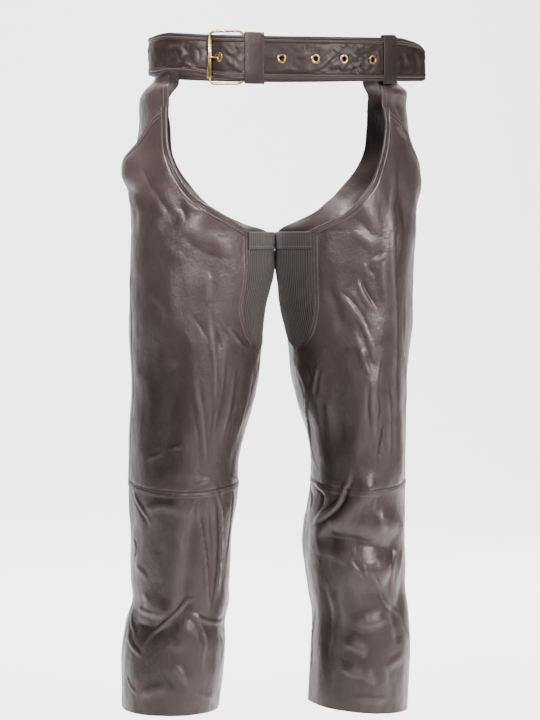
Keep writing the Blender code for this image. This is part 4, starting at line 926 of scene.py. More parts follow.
def blend_colour(tree, share, first, second):
    made = tree.nodes.new("ShaderNodeMix")
    made.data_type = "RGBA"
    tree.links.new(share, made.inputs["Factor"])
    colours = [s for s in made.inputs if s.type == "RGBA"]
    for socket, value in zip(colours, (first, second)):
        if isinstance(value, bpy.types.NodeSocket):
            tree.links.new(value, socket)
        else:
            socket.default_value = (*value, 1.0)
    return [s for s in made.outputs if s.type == "RGBA"][0]


def bump(tree, height, strength, distance, **below):
    made = node(tree, "ShaderNodeBump", Height=height, Strength=strength, Distance=distance, **below)
    return made.outputs["Normal"]


def cells(tree, place, scale):
    return node(tree, "ShaderNodeTexVoronoi", Vector=place, Scale=scale).outputs["Distance"]


def scaled(colour, factor, more=0.0):
    return tuple(c * factor + more for c in colour)


def new_material(name):
    made = bpy.data.materials.new(name)
    made.use_nodes = True
    tree = made.node_tree
    return made, tree, tree.nodes["Principled BSDF"], tree.nodes.new("ShaderNodeTexCoord").outputs["Object"]


def leather(name, dark, light, rough, grain=1.0, gloss=0.45):
    """Soft semi-gloss cowhide: clouded colour, a painted highlight on crests, painted shade in troughs,
    pebbled grain and fine wrinkles.
    """
    made, tree, shader, place = new_material(name)
    mottle = clouds(tree, place, *HIDE_MOTTLE)
    colour = blend_colour(tree, clouds(tree, place, *HIDE_CLOUDS), dark, light)
    colour = blend_colour(tree, ramp(tree, mottle, *MOTTLE_BLEND), colour, dark)
    crest = crest_height(tree)
    # Painted highlight: crests are lightened as if light caught them
    colour = blend_colour(tree, ramp(tree, crest, *CREST_PAINTED_HIGHLIGHT_BLEND), colour, scaled(light, 1.5, 0.012))
    # Painted shade: troughs and sunk seams are darkened
    colour = blend_colour(tree, ramp(tree, crest, *TROUGH_PAINTED_SHADE_BLEND), colour, scaled(dark, 0.62))
    pebbles = bump(tree, cells(tree, place, HIDE_PEBBLES), 0.16 * grain, 0.0006)
    wrinkles = bump(tree, noise(tree, place, *HIDE_WRINKLES), 0.5 * grain, 0.0013, Normal=pebbles)
    roughness = ramp(tree, mottle, 0.0, 1.0, rough - 0.05, rough + 0.07)
    set_inputs(tree, shader, Base_Color=colour, Roughness=roughness, Specular_IOR_Level=gloss,
               Specular_Tint=HIDE_REFLECTS, Normal=wrinkles)
    return made


def knit(name, dark, light):
    """Dull elastic cloth in fine ribs, with painted shade in the gaps between them and a painted highlight on
    their tops.
    """
    made, tree, shader, place = new_material(name)
    crest = crest_height(tree)
    colour = blend_colour(tree, clouds(tree, place, *KNIT_CLOUDS), dark, light)
    # Painted shade: the gaps between ribs are darkened nearly to black
    colour = blend_colour(tree, ramp(tree, crest, *KNIT_GAP_PAINTED_SHADE_BLEND), colour, scaled(dark, 0.12))
    # Painted highlight: rib tops are lightened
    colour = blend_colour(tree, ramp(tree, crest, *KNIT_RIDGE_PAINTED_HIGHLIGHT_BLEND), colour, scaled(light, 2.0))
    set_inputs(tree, shader, Base_Color=colour, Roughness=0.78, Specular_IOR_Level=0.3, Sheen_Weight=0.15,
               Normal=bump(tree, cells(tree, place, KNIT_PEBBLES), 0.2, 0.0005))
    return made


def brass(name, patina, rubbed):
    """Antique brass: rubbed bright over a brown patina."""
    made, tree, shader, place = new_material(name)
    share = clouds(tree, place, *BRASS_CLOUDS)
    set_inputs(tree, shader, Base_Color=blend_colour(tree, share, patina, rubbed), Metallic=1.0,
               Roughness=ramp(tree, share, 0.0, 1.0, 0.46, 0.24),
               Normal=bump(tree, noise(tree, place, *BRASS_SCRATCHES), 0.08, 0.0003))
    return made


def thread(name, colour):
    made, tree, shader, place = new_material(name)
    share = clouds(tree, place, *THREAD_CLOUDS)
    set_inputs(tree, shader, Base_Color=blend_colour(tree, share, scaled(colour, 0.6), colour), Roughness=0.7)
    return made


HIDE = leather("hide", *HIDE_COLOURS, HIDE_ROUGHNESS)
HIDE_TRIM = leather("hide_trim", *TRIM_COLOURS, HIDE_ROUGHNESS)
BELT_HIDE = leather("belt_hide", *BELT_COLOURS, BELT_ROUGHNESS, grain=0.8, gloss=0.2)
KNIT = knit("knit", *KNIT_COLOURS)
BRASS = brass("antique_brass", *BRASS_COLOURS)
THREAD = thread("thread", THREAD_COLOUR)

# ---- Meshes ----


def new_piece(name, points, faces, look, stands_for=(), crest=None, sharp=40):
    """One piece from points in millimetres, with its faces turned outward."""
    mesh = bpy.data.meshes.new(name)
    mesh.from_pydata((np.asarray(points) * MM).tolist(), [], [tuple(face) for face in faces])
    if crest is not None:
        held = mesh.attributes.new("crest", "FLOAT", "POINT")
        held.data.foreach_set("value", np.asarray(crest, np.float32).ravel())
    mesh.validate()
    mesh.shade_smooth()
    mesh.set_sharp_from_angle(angle=math.radians(sharp))
    mesh.materials.append(look)
    piece = bpy.data.objects.new(name, mesh)
    bpy.context.scene.collection.objects.link(piece)
    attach(piece, "root")
    if stands_for:
        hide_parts(*stands_for)
    return piece


def shell(name, inner, outer, look, stands_for, crest, inner_share=0.0, flip=False, sharp=40):
    """A piece that is a closed wall between two grids. Crest values, from which the materials paint highlight
    and shade, show outside and, by a share, inside.
    """
    rows, columns = inner.shape[:2]
    size = rows * columns
    index = np.arange(size).reshape(rows, columns)
    a, b = index[:-1, :-1].ravel(), index[:-1, 1:].ravel()
    c, d = index[1:, 1:].ravel(), index[1:, :-1].ravel()
    back = np.stack([a, d, c, b], axis=1)
    front = np.stack([a, b, c, d], axis=1) + size
    rim = np.concatenate([index[0, :-1], index[:-1, -1], index[-1, :0:-1], index[:0:-1, 0]])
    following = np.roll(rim, -1)
    edge = np.stack([rim, following, following + size, rim + size], axis=1)
    faces = np.concatenate([back, front, edge])
    if flip:
        faces = faces[:, ::-1]
    crest = np.broadcast_to(crest, inner.shape[:2]).ravel()
    crest = np.concatenate([crest * inner_share, crest])
    points = np.concatenate([inner.reshape(-1, 3), outer.reshape(-1, 3)])
    return new_piece(name, points, faces.tolist(), look, stands_for, crest, sharp)


def ring_quads(rings, size, closed=True):
    """Quads between neighbouring rings of points, and from the last ring to the first if closed."""
    faces = []
    for ring in range(rings if closed else rings - 1):
        here, there = ring * size, (ring + 1) % rings * size
        for k in range(size):
            m = (k + 1) % size
            faces.append((here + k, here + m, there + m, there + k))
    return faces


def steps(length, step):
    """Shares of a length: fine lines near both ends and even steps between."""
    count = max(2, int(round((length - 2 * END_LINES[-1]) / step)))
    middle = np.linspace(END_LINES[-1], length - END_LINES[-1], count + 1)
    return np.concatenate([END_LINES[:-1], middle, (length - END_LINES[:-1])[::-1]]) / length


def run_of(points, axis):
    """Length along a grid from its first line, and to its last."""
    gaps = np.linalg.norm(np.diff(points, axis=axis), axis=-1)
    first = np.zeros_like(np.take(gaps, [0], axis))
    start = np.concatenate([first, np.cumsum(gaps, axis=axis)], axis=axis)
    return start, np.take(start, [-1], axis) - start


def true_normals(points, like):
    """Normals of a grid of points, on the same side as some others."""
    normal = np.cross(np.gradient(points, axis=1), np.gradient(points, axis=0))
    normal /= np.linalg.norm(normal, axis=-1, keepdims=True) + 1e-12
    sign = np.sign(np.sum(normal * like, axis=-1, keepdims=True))
    return normal * np.where(sign == 0, 1, sign)


def crest_of(rise, reach=3, scale=1.1):
    """How much a place stands above what is round it, from -1 to 1."""
    soft = rise
    window = 2 * reach + 1
    for _ in range(3):
        for axis in (0, 1):
            pad = [(reach, reach) if axis == k else (0, 0) for k in (0, 1)]
            total = np.cumsum(np.pad(soft, pad, mode="edge"), axis=axis)
            total = np.concatenate([np.zeros_like(np.take(total, [0], axis)), total], axis=axis)
            size = soft.shape[axis]
            high = np.take(total, np.arange(window, window + size), axis)
            soft = (high - np.take(total, np.arange(size), axis)) / window
    return np.clip((rise - soft) * scale, -1, 1)


def groove(distance, at, half=0.9, depth=0.55):
    return -depth * bell(distance - at, half)


def stitched_fold(distance, width, rise, rows):
    """A raised fold of leather along an edge, pressed in along its rows of stitches."""
    return rise * smooth_step((width - distance) / 1.8) + sum(groove(distance, row) for row in rows)


def pucker(distance, along, seed, amount):
    """Small ripples that a seam draws into the leather beside it."""
    ripples = wander(np.stack([along, distance * 0.35], axis=-1), seed, amount, PUCKER_SIZE)
    return ripples * bell(distance, PUCKER_REACH)


# Stitch lines wait here until all panels are made: name to list of (points, normals)
STITCHES = {"right": [], "left": [], "belt": []}


def stitch_line(group, points, normals):
    STITCHES[group].append((np.asarray(points, float), np.asarray(normals, float)))


def make_stitches(group):
    """One mesh of short raised stitches along all lines."""
    sides = len(STITCH_TURNS)
    size = sides * len(STITCH_OFFSETS)
    cell = np.array(ring_quads(len(STITCH_OFFSETS), sides, closed=False)
                    + [tuple(reversed(range(sides))), tuple(range(size - sides, size))])
    all_points, all_faces, count = [], [], 0
    for line, normals in STITCHES[group]:
        run = run_along(line)
        number = int(run[-1] / STITCH_PITCH)
        middles = (np.arange(number) + 0.5) * run[-1] / max(number, 1)
        at = middles[:, None] + STITCH_OFFSETS
        centre = np.stack([np.interp(at, run, line[:, j]) for j in range(3)], axis=-1)
        lean = unit(np.stack([np.interp(at, run, normals[:, j]) for j in range(3)], axis=-1))
        ahead = unit(centre[:, -1:] - centre[:, :1]) + 0 * centre
        beside = np.cross(ahead, lean)
        centre = centre + lean * STITCH_LIFTS[:, None]
        ring = (beside[:, :, None] * np.cos(STITCH_TURNS)[:, None]
                + lean[:, :, None] * np.sin(STITCH_TURNS)[:, None]) * STITCH_RADII[:, None, None]
        all_points.append((centre[:, :, None] + ring).reshape(-1, 3))
        all_faces.append((cell + (np.arange(number) * size)[:, None, None]).reshape(-1, 4) + count)
        count += number * size
    faces = np.concatenate(all_faces).tolist()
    piece = new_piece(f"stitching_{group}", np.concatenate(all_points), faces, THREAD)


# ---- Legs ----


def panel(name, part, side, top_of, bottom_of):
    """The grid of a leather panel between two upright edges and two end lines, sunk at its seams."""
    length, width, seams = PANEL_GRIDS[name]
    down = steps(length, ROW_STEPS[part])[:, None]
    share = steps(width, ROW_STEPS[part])[None, :]
    turn = np.zeros((down.size, share.size))
    height = top_of(share, turn) * (1 - down) + bottom_of(turn) * down
    for _ in range(3):
        inner, outer = inner_edge(side, part, height), side_edge(side, height)
        start, end = (inner, outer) if part == "front" else (outer, inner)
        turn = start + (end - start) * share
        height = top_of(share, turn) * (1 - down) + bottom_of(turn) * down
    points, normals, small = surface(side, turn, height)
    made = {"height": height, "points": points, "normals": true_normals(points, normals), "small": small}
    made["start"], made["end"] = run_of(points, 1)
    made["top"], made["bottom"] = run_of(points, 0)
    made["relief"] = -sum(drop * bell(made[edge], SEAM_REACH) for edge, drop in seams.items())
    return made


def finish_panel(made, name, side):
    for beside, along, seed, amount in PUCKERS[name]:
        made["relief"] += pucker(made[beside], made[along], seed, amount)
    made["outer"] = made["points"] + made["normals"] * (WALL + made["relief"])[..., None]
    node_name = f"{name}_{side}"
    piece = shell(f"leather_{node_name}", made["points"], made["outer"], HIDE, [node_name],
                  crest_of(made["small"] + made["relief"]), 0.4, SIDES[side] > 0)


def line_at(made, edge, at):
    """The line on a panel at a distance from one of its edges."""
    distance, grid, normal = made[edge], made["outer"], made["normals"]
    if edge in ("top", "bottom"):
        distance, grid, normal = distance.T, grid.swapaxes(0, 1), normal.swapaxes(0, 1)
    if edge in ("end", "bottom"):
        distance, grid, normal = distance[:, ::-1], grid[:, ::-1], normal[:, ::-1]
    return [np.array([[np.interp(at, d, line[:, j]) for j in range(3)] for d, line in zip(distance, lines)])
            for lines in (grid, normal)]


def build_upper(side, part):
    """A leg's front or back from the belt to the knee, with the stitched fold beside the stretch panel."""
    name = f"{part}_upper"
    top_of = {"front": lambda share, turn: pocket_mouth(share), "back": lambda share, turn: LEG_TOP}[part]
    made = panel(name, part, side, top_of, knee_height)
    edge, column = ("start", 0) if part == "front" else ("end", -1)
    height = made["height"]
    on_stretch = smooth_step((CROTCH + 4 - height) / 8) * smooth_step((height - STRETCH_BOTTOM + 10) / 12)
    made["relief"] += on_stretch * stitched_fold(made[edge], *STRETCH_FOLD, STRETCH_ROWS)
    finish_panel(made, name, side)
    shown = np.where((height[:, column] < CROTCH - 2) & (height[:, column] > STRETCH_BOTTOM + 4))[0]
    for row in STRETCH_ROWS:
        line, normals = line_at(made, edge, row)
        stitch_line(side, line[shown[0]:shown[-1]], normals[shown[0]:shown[-1]])


def build_lower(side, part):
    """A leg's front or back from the knee to the hem, with the stitched fold below the knee seam."""
    name = f"{part}_lower"
    made = panel(name, part, side, lambda share, turn: knee_height(turn), lambda turn: hem_height(side, turn))
    made["relief"] += stitched_fold(made["top"], *KNEE_FOLD, KNEE_ROWS)
    finish_panel(made, name, side)
    for row in KNEE_ROWS:
        stitch_line(side, *line_at(made, "top", row))


def lie_band(name, side, points, normals, lifts, stands_for, flip=False):
    """A folded band on the leather, raised by its own profile. Returns its outer face."""
    inner = points + normals * BAND_STAND
    outer = points + normals * (np.maximum(lifts, 0.1) * BAND_WALL)[..., None]
    piece = shell(name, inner, outer, HIDE_TRIM, stands_for, crest_of(lifts * BAND_WALL),
                  flip=(SIDES[side] > 0) != flip)
    return outer


def build_edge_band(side, part, top):
    """The band along the seat opening, on the front or the back panel, square to its edge."""
    fine = np.linspace(top, CROTCH + 0.6, 400)
    run = run_along(plain_surface(side, inner_edge(side, part, fine), fine))
    height = np.interp(np.linspace(0, run[-1], int(run[-1] / EDGE_BAND_STEP)), run, fine)
    edge = inner_edge(side, part, height)
    per_turn = plain_surface(side, edge + 0.5, height) - plain_surface(side, edge - 0.5, height)
    per_height = plain_surface(side, edge, height + 0.5) - plain_surface(side, edge, height - 0.5)
    ahead = np.gradient(plain_surface(side, edge, height), axis=0)
    into = unit(np.cross(outward(side, edge, height), ahead))
    into *= np.sign(np.sum(into * per_turn, axis=1, keepdims=True)) * (1 if part == "front" else -1)
    share = np.array([np.linalg.lstsq(np.stack([a, b], axis=1), c, rcond=None)[0]
                      for a, b, c in zip(per_turn, per_height, into)])
    turn = edge[:, None] + share[:, :1] * EDGE_BAND_LINES
    height = height[:, None] + share[:, 1:] * EDGE_BAND_LINES
    points, normals, _ = surface(side, turn, height)
    normals = true_normals(points, normals)
    across = EDGE_BAND_LINES
    flat = 0.85 * smooth_step((across - 0.2) / 1.2) * smooth_step((BAND_WIDTH - across) / 0.7)
    profile = np.maximum(flat + 0.6 * bell(across - 1.8, 1.6), 0.08) + groove(across, 9.0, 0.9, 0.4)
    profile = np.broadcast_to(profile, turn.shape)
    name = f"{part}_edge_band_{side}"
    outer = lie_band(f"band_{name}", side, points + normals * WALL, normals, profile, [name],
                     part == "back")
    stitch_line(side, outer[:, EDGE_BAND_ROW], normals[:, EDGE_BAND_ROW])


def build_pocket_band(side):
    """The band along the pocket's slanted mouth, with two rows of stitches."""
    across = POCKET_BAND_LINES[:, None]
    share = np.linspace(0, 1, 70)[None, :]
    height = pocket_mouth(share) - across * 1.12
    start = inner_edge(side, "front", height)
    turn = start + (side_edge(side, height) - start) * share
    first = degrees_for(side, turn, height, BAND_WIDTH * 0.9)[:, :1]
    turn = np.maximum(turn, turn[:, :1] + first * (1 - share))
    points, normals, _ = surface(side, turn, height)
    normals = true_normals(points, normals)
    profile = 0.9 * smooth_step((across + 0.6) / 1.4) * smooth_step((10.4 - across) / 0.8)
    profile = profile + 0.3 * bell(across - 1.2, 1.3)
    for row in POCKET_BAND_ROWS:
        profile = profile + groove(across, POCKET_BAND_LINES[row], 0.8, 0.4)
    outer = lie_band(f"band_pocket_{side}", side, points + normals * WALL, normals,
                     np.broadcast_to(profile, turn.shape), [f"pocket_band_{side}"])
    for row in POCKET_BAND_ROWS:
        stitch_line(side, outer[row], normals[row])


def build_facing(side):
    """The pocket's facing on the hip, tucked in behind the front."""
    down = steps(FACING_GRID[0], ROW_STEPS["back"])[:, None]
    share = steps(FACING_GRID[1], ROW_STEPS["back"])[None, :]
    bottom = pocket_mouth(share) - POCKET_TUCK
    height = LEG_TOP * (1 - down) + bottom * down
    start = turn_of_front_edge(side, np.maximum(height, CROTCH))
    turn = start + (side_edge(side, height) - degrees_for(side, 90.0, height, 0.4) - start) * share
    points, normals = plain_surface(side, turn, height), outward(side, turn, height)
    depth = (BELOW_BELT - height) / (BELOW_BELT - bottom)
    sink = -FACING_SINK * smooth_step(depth / 0.6)
    small = detail_rise(side, turn, height) * 0.7 * smooth_step(depth / 0.3) * smooth_step((1 - depth) / 0.5)
    points = points + normals * (sink + small)[..., None] + spread_below_belt(side, turn, height)
    normals = true_normals(points, normals)
    from_start, from_end = run_of(points, 1)
    relief = stitched_fold(from_start, *FACING_FOLD, [FACING_ROW]) + 0.5 * bell(from_start - 1.5, 1.5)
    relief = relief * smooth_step((-46 - height) / 6) - 0.8 * bell(from_end, SEAM_REACH)
    outer = points + normals * (WALL + relief)[..., None]
    piece = shell(f"leather_pocket_facing_{side}", points, outer, HIDE, [f"pocket_facing_{side}"],
                  crest_of(small + relief), flip=SIDES[side] > 0)
    shown = np.where((height[:, 0] < BELOW_BELT + 4) & (height[:, 0] > -82))[0]
    line = [[np.interp(FACING_ROW, from_start[k], outer[k, :, j]) for j in range(3)] for k in shown]
    stitch_line(side, line, normals[shown, 3])


def build_stretch(side):
    """The ribbed stretch panel of the inner thigh and the folded hem along its top."""
    first, last = STRETCH_EDGES[0, 2], STRETCH_EDGES[0, 1]
    gap, per_length = (degrees_for(side, STRETCH_MIDDLE, CROTCH, length) for length in (SEAM_GAP / 2, 1.0))
    ribs = int(round((last - first) / per_length / RIB_PITCH))
    fine = np.linspace(first + gap, last - gap, ribs * RIB_COLUMNS + 1)
    round_end = STRETCH_EDGES[2:]
    corners = np.concatenate([round_end[:, 1], round_end[::-1, 2][1:]])
    lows = np.concatenate([round_end[:, 0], round_end[::-1, 0][1:]])
    order = np.argsort(corners)
    bottom = np.interp(fine, corners[order], lows[order]) + SEAM_GAP
    down = np.linspace(0, 1, RIB_ROWS)[:, None]
    height = CROTCH * (1 - down) + bottom[None, :] * down
    points, normals, _ = surface(side, fine[None, :] + 0 * down, height, STRETCH_DETAIL)
    ridge = np.abs(np.sin(np.arange(len(fine)) / RIB_COLUMNS * math.pi)) ** 0.7
    outer = points + normals * (RIB_BASE + RIB_RISE * ridge)[:, None]
    # Its crest values paint shade in the gaps between ribs and a highlight on the ribs
    piece = shell(f"ribbed_stretch_panel_{side}", points, outer, KNIT, [f"stretch_panel_{side}"],
                  ridge * 2 - 1.2, flip=SIDES[side] > 0, sharp=80)
    down = HEM_FOLD_LINES[:, None]
    turn = np.linspace(first + gap, last - gap, 4 * ribs + 1)[None, :] + 0 * down
    points, normals, _ = surface(side, turn, CROTCH - down + 0 * turn, STRETCH_DETAIL)
    lift = 1.3 * smooth_step((down + 0.7) / 1.4) * smooth_step((26.4 - down) / 1.0)
    lift = lift + groove(down, HEM_FOLD_LINES[HEM_FOLD_ROW], 0.7, 0.4)
    ripple = 0.5 * np.sin(np.arange(turn.shape[1]) * math.pi / 4)[None, :] ** 2
    rise = np.maximum(lift, 0.25) + ripple * smooth_step(down / 3) * smooth_step((26 - down) / 3)
    outer = points + normals * (HEM_FOLD_STAND + rise)[..., None]
    # Its crest values paint shade in the hollows of the ripples and a highlight on their tops
    piece = shell(f"stretch_hem_fold_{side}", points + normals * (HEM_FOLD_STAND - 0.3), outer, KNIT,
                  [f"stretch_hem_{side}"], np.clip(ripple * 4 - 0.5, -1, 1), flip=SIDES[side] > 0)
    stitch_line(side, outer[HEM_FOLD_ROW], normals[HEM_FOLD_ROW])


def build_leg(side):
    build_upper(side, "front")
    build_pocket_band(side)
    build_upper(side, "back")
    for part in ("front", "back"):
        build_lower(side, part)
    for part, top in EDGE_BAND_TOPS.items():
        build_edge_band(side, part, top)
    build_facing(side)
    build_stretch(side)


# ---- Belt ----


def waist_curve():
    """Points of the waist ring by length from its front middle, positive toward the wearer's left."""
    angle = np.radians(np.linspace(-180, 180, 2881))
    across = WAIST_CENTRE_X + WAIST_HALF_WIDTH * np.sin(angle)
    line = np.stack([across, -WAIST_HALF_DEPTH * np.cos(angle)], axis=-1)
    length = run_along(line)
    return length - length[len(length) // 2], line


WAIST_LENGTH, WAIST_LINE = waist_curve()
HALF_ROUND = WAIST_LENGTH[-1]


def round_ring(along):
    """The same places along the belt, counted less than half a round from the front middle."""
    return (np.asarray(along, float) + HALF_ROUND) % (2 * HALF_ROUND) - HALF_ROUND


def waist_frame(along):
    """Point, direction and outward direction on the waist ring, all level."""
    point, ahead, behind = (
        np.stack([np.interp(round_ring(along) + step, WAIST_LENGTH, v) for v in WAIST_LINE.T], axis=-1)
        for step in (0.0, 2.0, -2.0))
    direction = unit(ahead - behind)
    return point, direction, level_out(direction)


def level_out(direction):
    """The level direction out of the ring, square to one that runs along it."""
    return np.stack([direction[..., 1], -direction[..., 0]], axis=-1)


def belt_middle(place):
    """Height of the belt's middle line: it dips at the front, and further round on the wearer's left."""
    place = np.asarray(place, float)
    turn = np.arctan2((place[..., 0] - WAIST_CENTRE_X) / WAIST_HALF_WIDTH, -place[..., 1] / WAIST_HALF_DEPTH)
    return BELT_LEVEL - belt_dip(np.where(turn > 0, turn * LEFT_DIP_SPREAD, turn))


def belt_path(along, lift):
    """Level points at a lift from the waist ring."""
    point, _, out = waist_frame(along)
    return point + out * np.asarray(lift, float)[..., None]


def strap_path(along):
    """The strap's middle line. Past the last keeper it runs on nearly straight, off the ring."""
    along = np.asarray(along, float)
    on_ring = belt_path(along, read_table(STRAP_LIFTS, along - BUCKLE_ALONG)[..., 0])
    start, direction, out = waist_frame(STRAP_LEAVES)
    start = start + out * read_table(STRAP_LIFTS, np.array(STRAP_LEAVES - BUCKLE_ALONG))[0]
    past = np.maximum(along - STRAP_LEAVES, 0)[..., None]
    free = start + direction * past - out * TAIL_BEND * past**2
    return np.where(past > 0, free, on_ring)


def strap_stand(along):
    """Point on the strap's middle line at mid-height, its direction and its outward direction."""
    near = strap_path(np.array([along - 1.0, along, along + 1.0]))
    ahead = unit(near[2] - near[0])
    return np.append(near[1], belt_middle(near[1])), np.append(ahead, 0.0), np.append(level_out(ahead), 0.0)


def belt_creases(along, up):
    """Small creases and, in some stretches, crinkles of the belt's face."""
    along, up = np.broadcast_arrays(along, up)
    rise = np.zeros(along.shape)
    for points, width, amount in BELT_CREASES:
        rise += crease_rise(smooth_line(points, 5 * len(points)), width, amount, 0.5, along, up)
    places = np.stack([along, up], axis=-1)
    slanted = np.stack([along * 0.8 + up * 0.6, (up * 0.8 - along * 0.6) * 2.2], axis=-1)
    crossed = np.stack([along * 0.7 - up * 0.7, (up * 0.7 + along * 0.7) * 2.2], axis=-1)
    crinkled = np.zeros(along.shape)
    for middle, half, strength in BELT_CRINKLED:
        crinkled = np.maximum(crinkled, strength * smooth_step(1.3 - np.abs(along - middle) / half))
    sharp = 1.0
    for layer, sizes in zip((slanted, crossed), BELT_CRINKLES):
        sharp = sharp - np.abs(wander(layer, *sizes))
    rise = rise * 1.2 + wander(places, *BELT_WANDER) + np.clip(sharp, -0.8, 1.1) * crinkled
    return rise * smooth_step((BELT_WIDTH / 2 * 0.72 - np.abs(up)) / 6) + wander(places, *BELT_SWELL)


def belt_reach(along):
    """Shares of the half width that the belt's top and bottom edges reach."""
    reaches = []
    for hip, tail in ((HIP_TOP, TAIL_TOP), (HIP_LOW, TAIL_LOW)):
        at_tail = np.where(along > TAIL_END, 1.0, straight_table(tail, along))
        reaches.append(soften(straight_table(hip, round_ring(along)) * at_tail))
    return reaches


def soften(line):
    """A run of values with its corners eased."""
    for _ in range(3):
        line = np.convolve(np.pad(line, 1, mode="edge"), (0.25, 0.5, 0.25), mode="valid")
    return line


def stand_off(path, out, depth, height):
    """A grid of points over a level path, each at its own depth and height."""
    return np.stack([path[:, 0] + out[:, 0] * depth, path[:, 1] + out[:, 1] * depth, height], axis=-1)


def belt_band(name, along, path, stands_for):
    """A belt band along a level path, with its stitched ridges and small creases."""
    out = level_out(unit(np.gradient(path, axis=0)))
    top, low = belt_reach(along)
    share, rise = BELT_PROFILE[:, :1], BELT_PROFILE[:, 1:]
    up = share * BELT_WIDTH / 2 * np.where(share > 0, top, low)
    small = belt_creases(along[None, :], up)
    height = belt_middle(path) + up
    inner = stand_off(path, out, -BELT_WALL / 2 - np.minimum(rise, 0) * 0.6, height)
    outer = stand_off(path, out, BELT_WALL / 2 + rise * 0.85 + small, height)
    piece = shell(name, inner, outer, BELT_HIDE, stands_for, crest_of(rise * 0.8 + small), flip=True)
    normals = np.append(out, np.zeros((len(out), 1)), axis=1)
    for row in BELT_ROWS:
        stitch_line("belt", outer[row] + normals * 0.1, normals)
    return piece


def stations(start, end, step):
    return np.linspace(start, end, max(2, int(round(abs(end - start) / step)) + 1))


def turned(name, centre, ahead, up, out, profile, sides, stands_for=()):
    """A brass ring turned from a closed profile of radius and lift."""
    turns = np.radians(np.arange(sides) * 360 / sides)
    points = [centre + out * lift + (ahead * math.cos(t) + up * math.sin(t)) * radius
              for t in turns for radius, lift in profile]
    return new_piece(name, points, ring_quads(sides, len(profile)), BRASS, stands_for, sharp=BRASS_SHARP)


def build_strap():
    """The strap with its free end, its eyelets and the holes through them."""
    taper = TAIL_END - TAIL_FINE
    along = stations(-HALF_ROUND * BELT_SEAM, taper, BELT_STEP)[:-1]
    along = np.concatenate([along, stations(taper, TAIL_END, TAIL_STEP)])
    strap = belt_band("belt_strap_leather", along, strap_path(along), ["belt_strap"])
    cutters = []
    for number, place in enumerate(EYELET_ALONG, 1):
        centre, ahead, out = strap_stand(place)
        turned(f"eyelet_ring_{number}", centre, ahead, UP, out, EYELET_PROFILE, EYELET_SIDES,
               [f"eyelet_{number}"])
        bpy.ops.mesh.primitive_cylinder_add(vertices=CUTTER_SIDES, radius=EYELET_CUT * MM,
                                            depth=CUTTER_LENGTH * MM)
        cutter = bpy.context.object
        cutter.location = [c * MM for c in centre]
        cutter.rotation_mode = "QUATERNION"
        cutter.rotation_quaternion = Vector(out).to_track_quat("Z", "Y")
        cutters.append(cutter)
    bpy.context.view_layer.update()
    for cutter in cutters:
        cut = strap.modifiers.new("hole", "BOOLEAN")
        cut.operation = "DIFFERENCE"
        cut.object = cutter
    graph = bpy.context.evaluated_depsgraph_get()
    holed = bpy.data.meshes.new_from_object(strap.evaluated_get(graph))
    strap.modifiers.clear()
    strap.data = holed
    for cutter in cutters:
        bpy.data.objects.remove(cutter)


def build_belt_back():
    edge = HALF_ROUND * BELT_SEAM + 0.2
    along = stations(edge, 2 * HALF_ROUND - edge, BELT_STEP)
    path = belt_path(along, np.full(len(along), BELT_LIFT))
    belt_band("belt_back_leather", along, path, ["belt_back"])


def build_buckle_half():
    """The buckle end of the belt, under the strap, folded round the heel bar, with the prong's slot."""
    loop = smooth_line(HEEL_LOOP, LOOP_LINES)
    far = stations(HEEL_LOOP[-1, 0], HALF_ROUND * BELT_SEAM - BUCKLE_ALONG, BELT_STEP)[1:] + BUCKLE_ALONG
    along = np.concatenate([loop[:, 0] + BUCKLE_ALONG, far])
    lift = np.concatenate([loop[:, 1], straight_table(BUCKLE_HALF_LIFTS, far)])
    grow = np.linspace(LOOP_HALF_WALL, BELT_WALL / 2, LOOP_GROWS)
    thin = np.full(LOOP_LINES - LOOP_GROWS, LOOP_HALF_WALL)
    thick = np.concatenate([thin, grow, np.full(len(far), BELT_WALL / 2)])[::-1]
    path = belt_path(along, lift)[::-1]
    out = level_out(unit(np.gradient(path, axis=0)))
    height = belt_middle(path) + (BUCKLE_HALF_LINES * BELT_WIDTH / 2)[:, None]
    depth = thick - BUCKLE_HALF_ROUNDING[:, None]
    inner, outer = (stand_off(path, out, sign * depth, height) for sign in (-1, 1))
    rows, columns = inner.shape[:2]
    slot_row = rows // 2 - 1
    slot = range(len(far) + SLOT_LINES[0], len(far) + SLOT_LINES[1])
    filled = [(row, column) for row in range(rows - 1) for column in range(columns - 1)
              if row != slot_row or column not in slot]
    known = set(filled)
    shift = rows * columns
    faces = []
    for row, column in filled:
        a, b = row * columns + column, row * columns + column + 1
        c, d = b + columns, a + columns
        faces += [(a, b, c, d), (a + shift, d + shift, c + shift, b + shift)]
        around = {(row - 1, column): (a, b), (row, column + 1): (b, c), (row + 1, column): (c, d),
                  (row, column - 1): (d, a)}
        faces += [(p, p + shift, q + shift, q) for cell, (p, q) in around.items() if cell not in known]
    points = np.concatenate([inner.reshape(-1, 3), outer.reshape(-1, 3)])
    piece = new_piece("belt_buckle_half_leather", points, faces, BELT_HIDE, ["belt_buckle_half"])


def buckle_point(along, lift):
    """A point at the buckle's mid-height, by length from its middle and lift from the waist ring."""
    here, base = belt_path(np.array([BUCKLE_ALONG + along, BUCKLE_ALONG]), np.array([lift, lift]))
    return np.append(here, belt_middle(base))


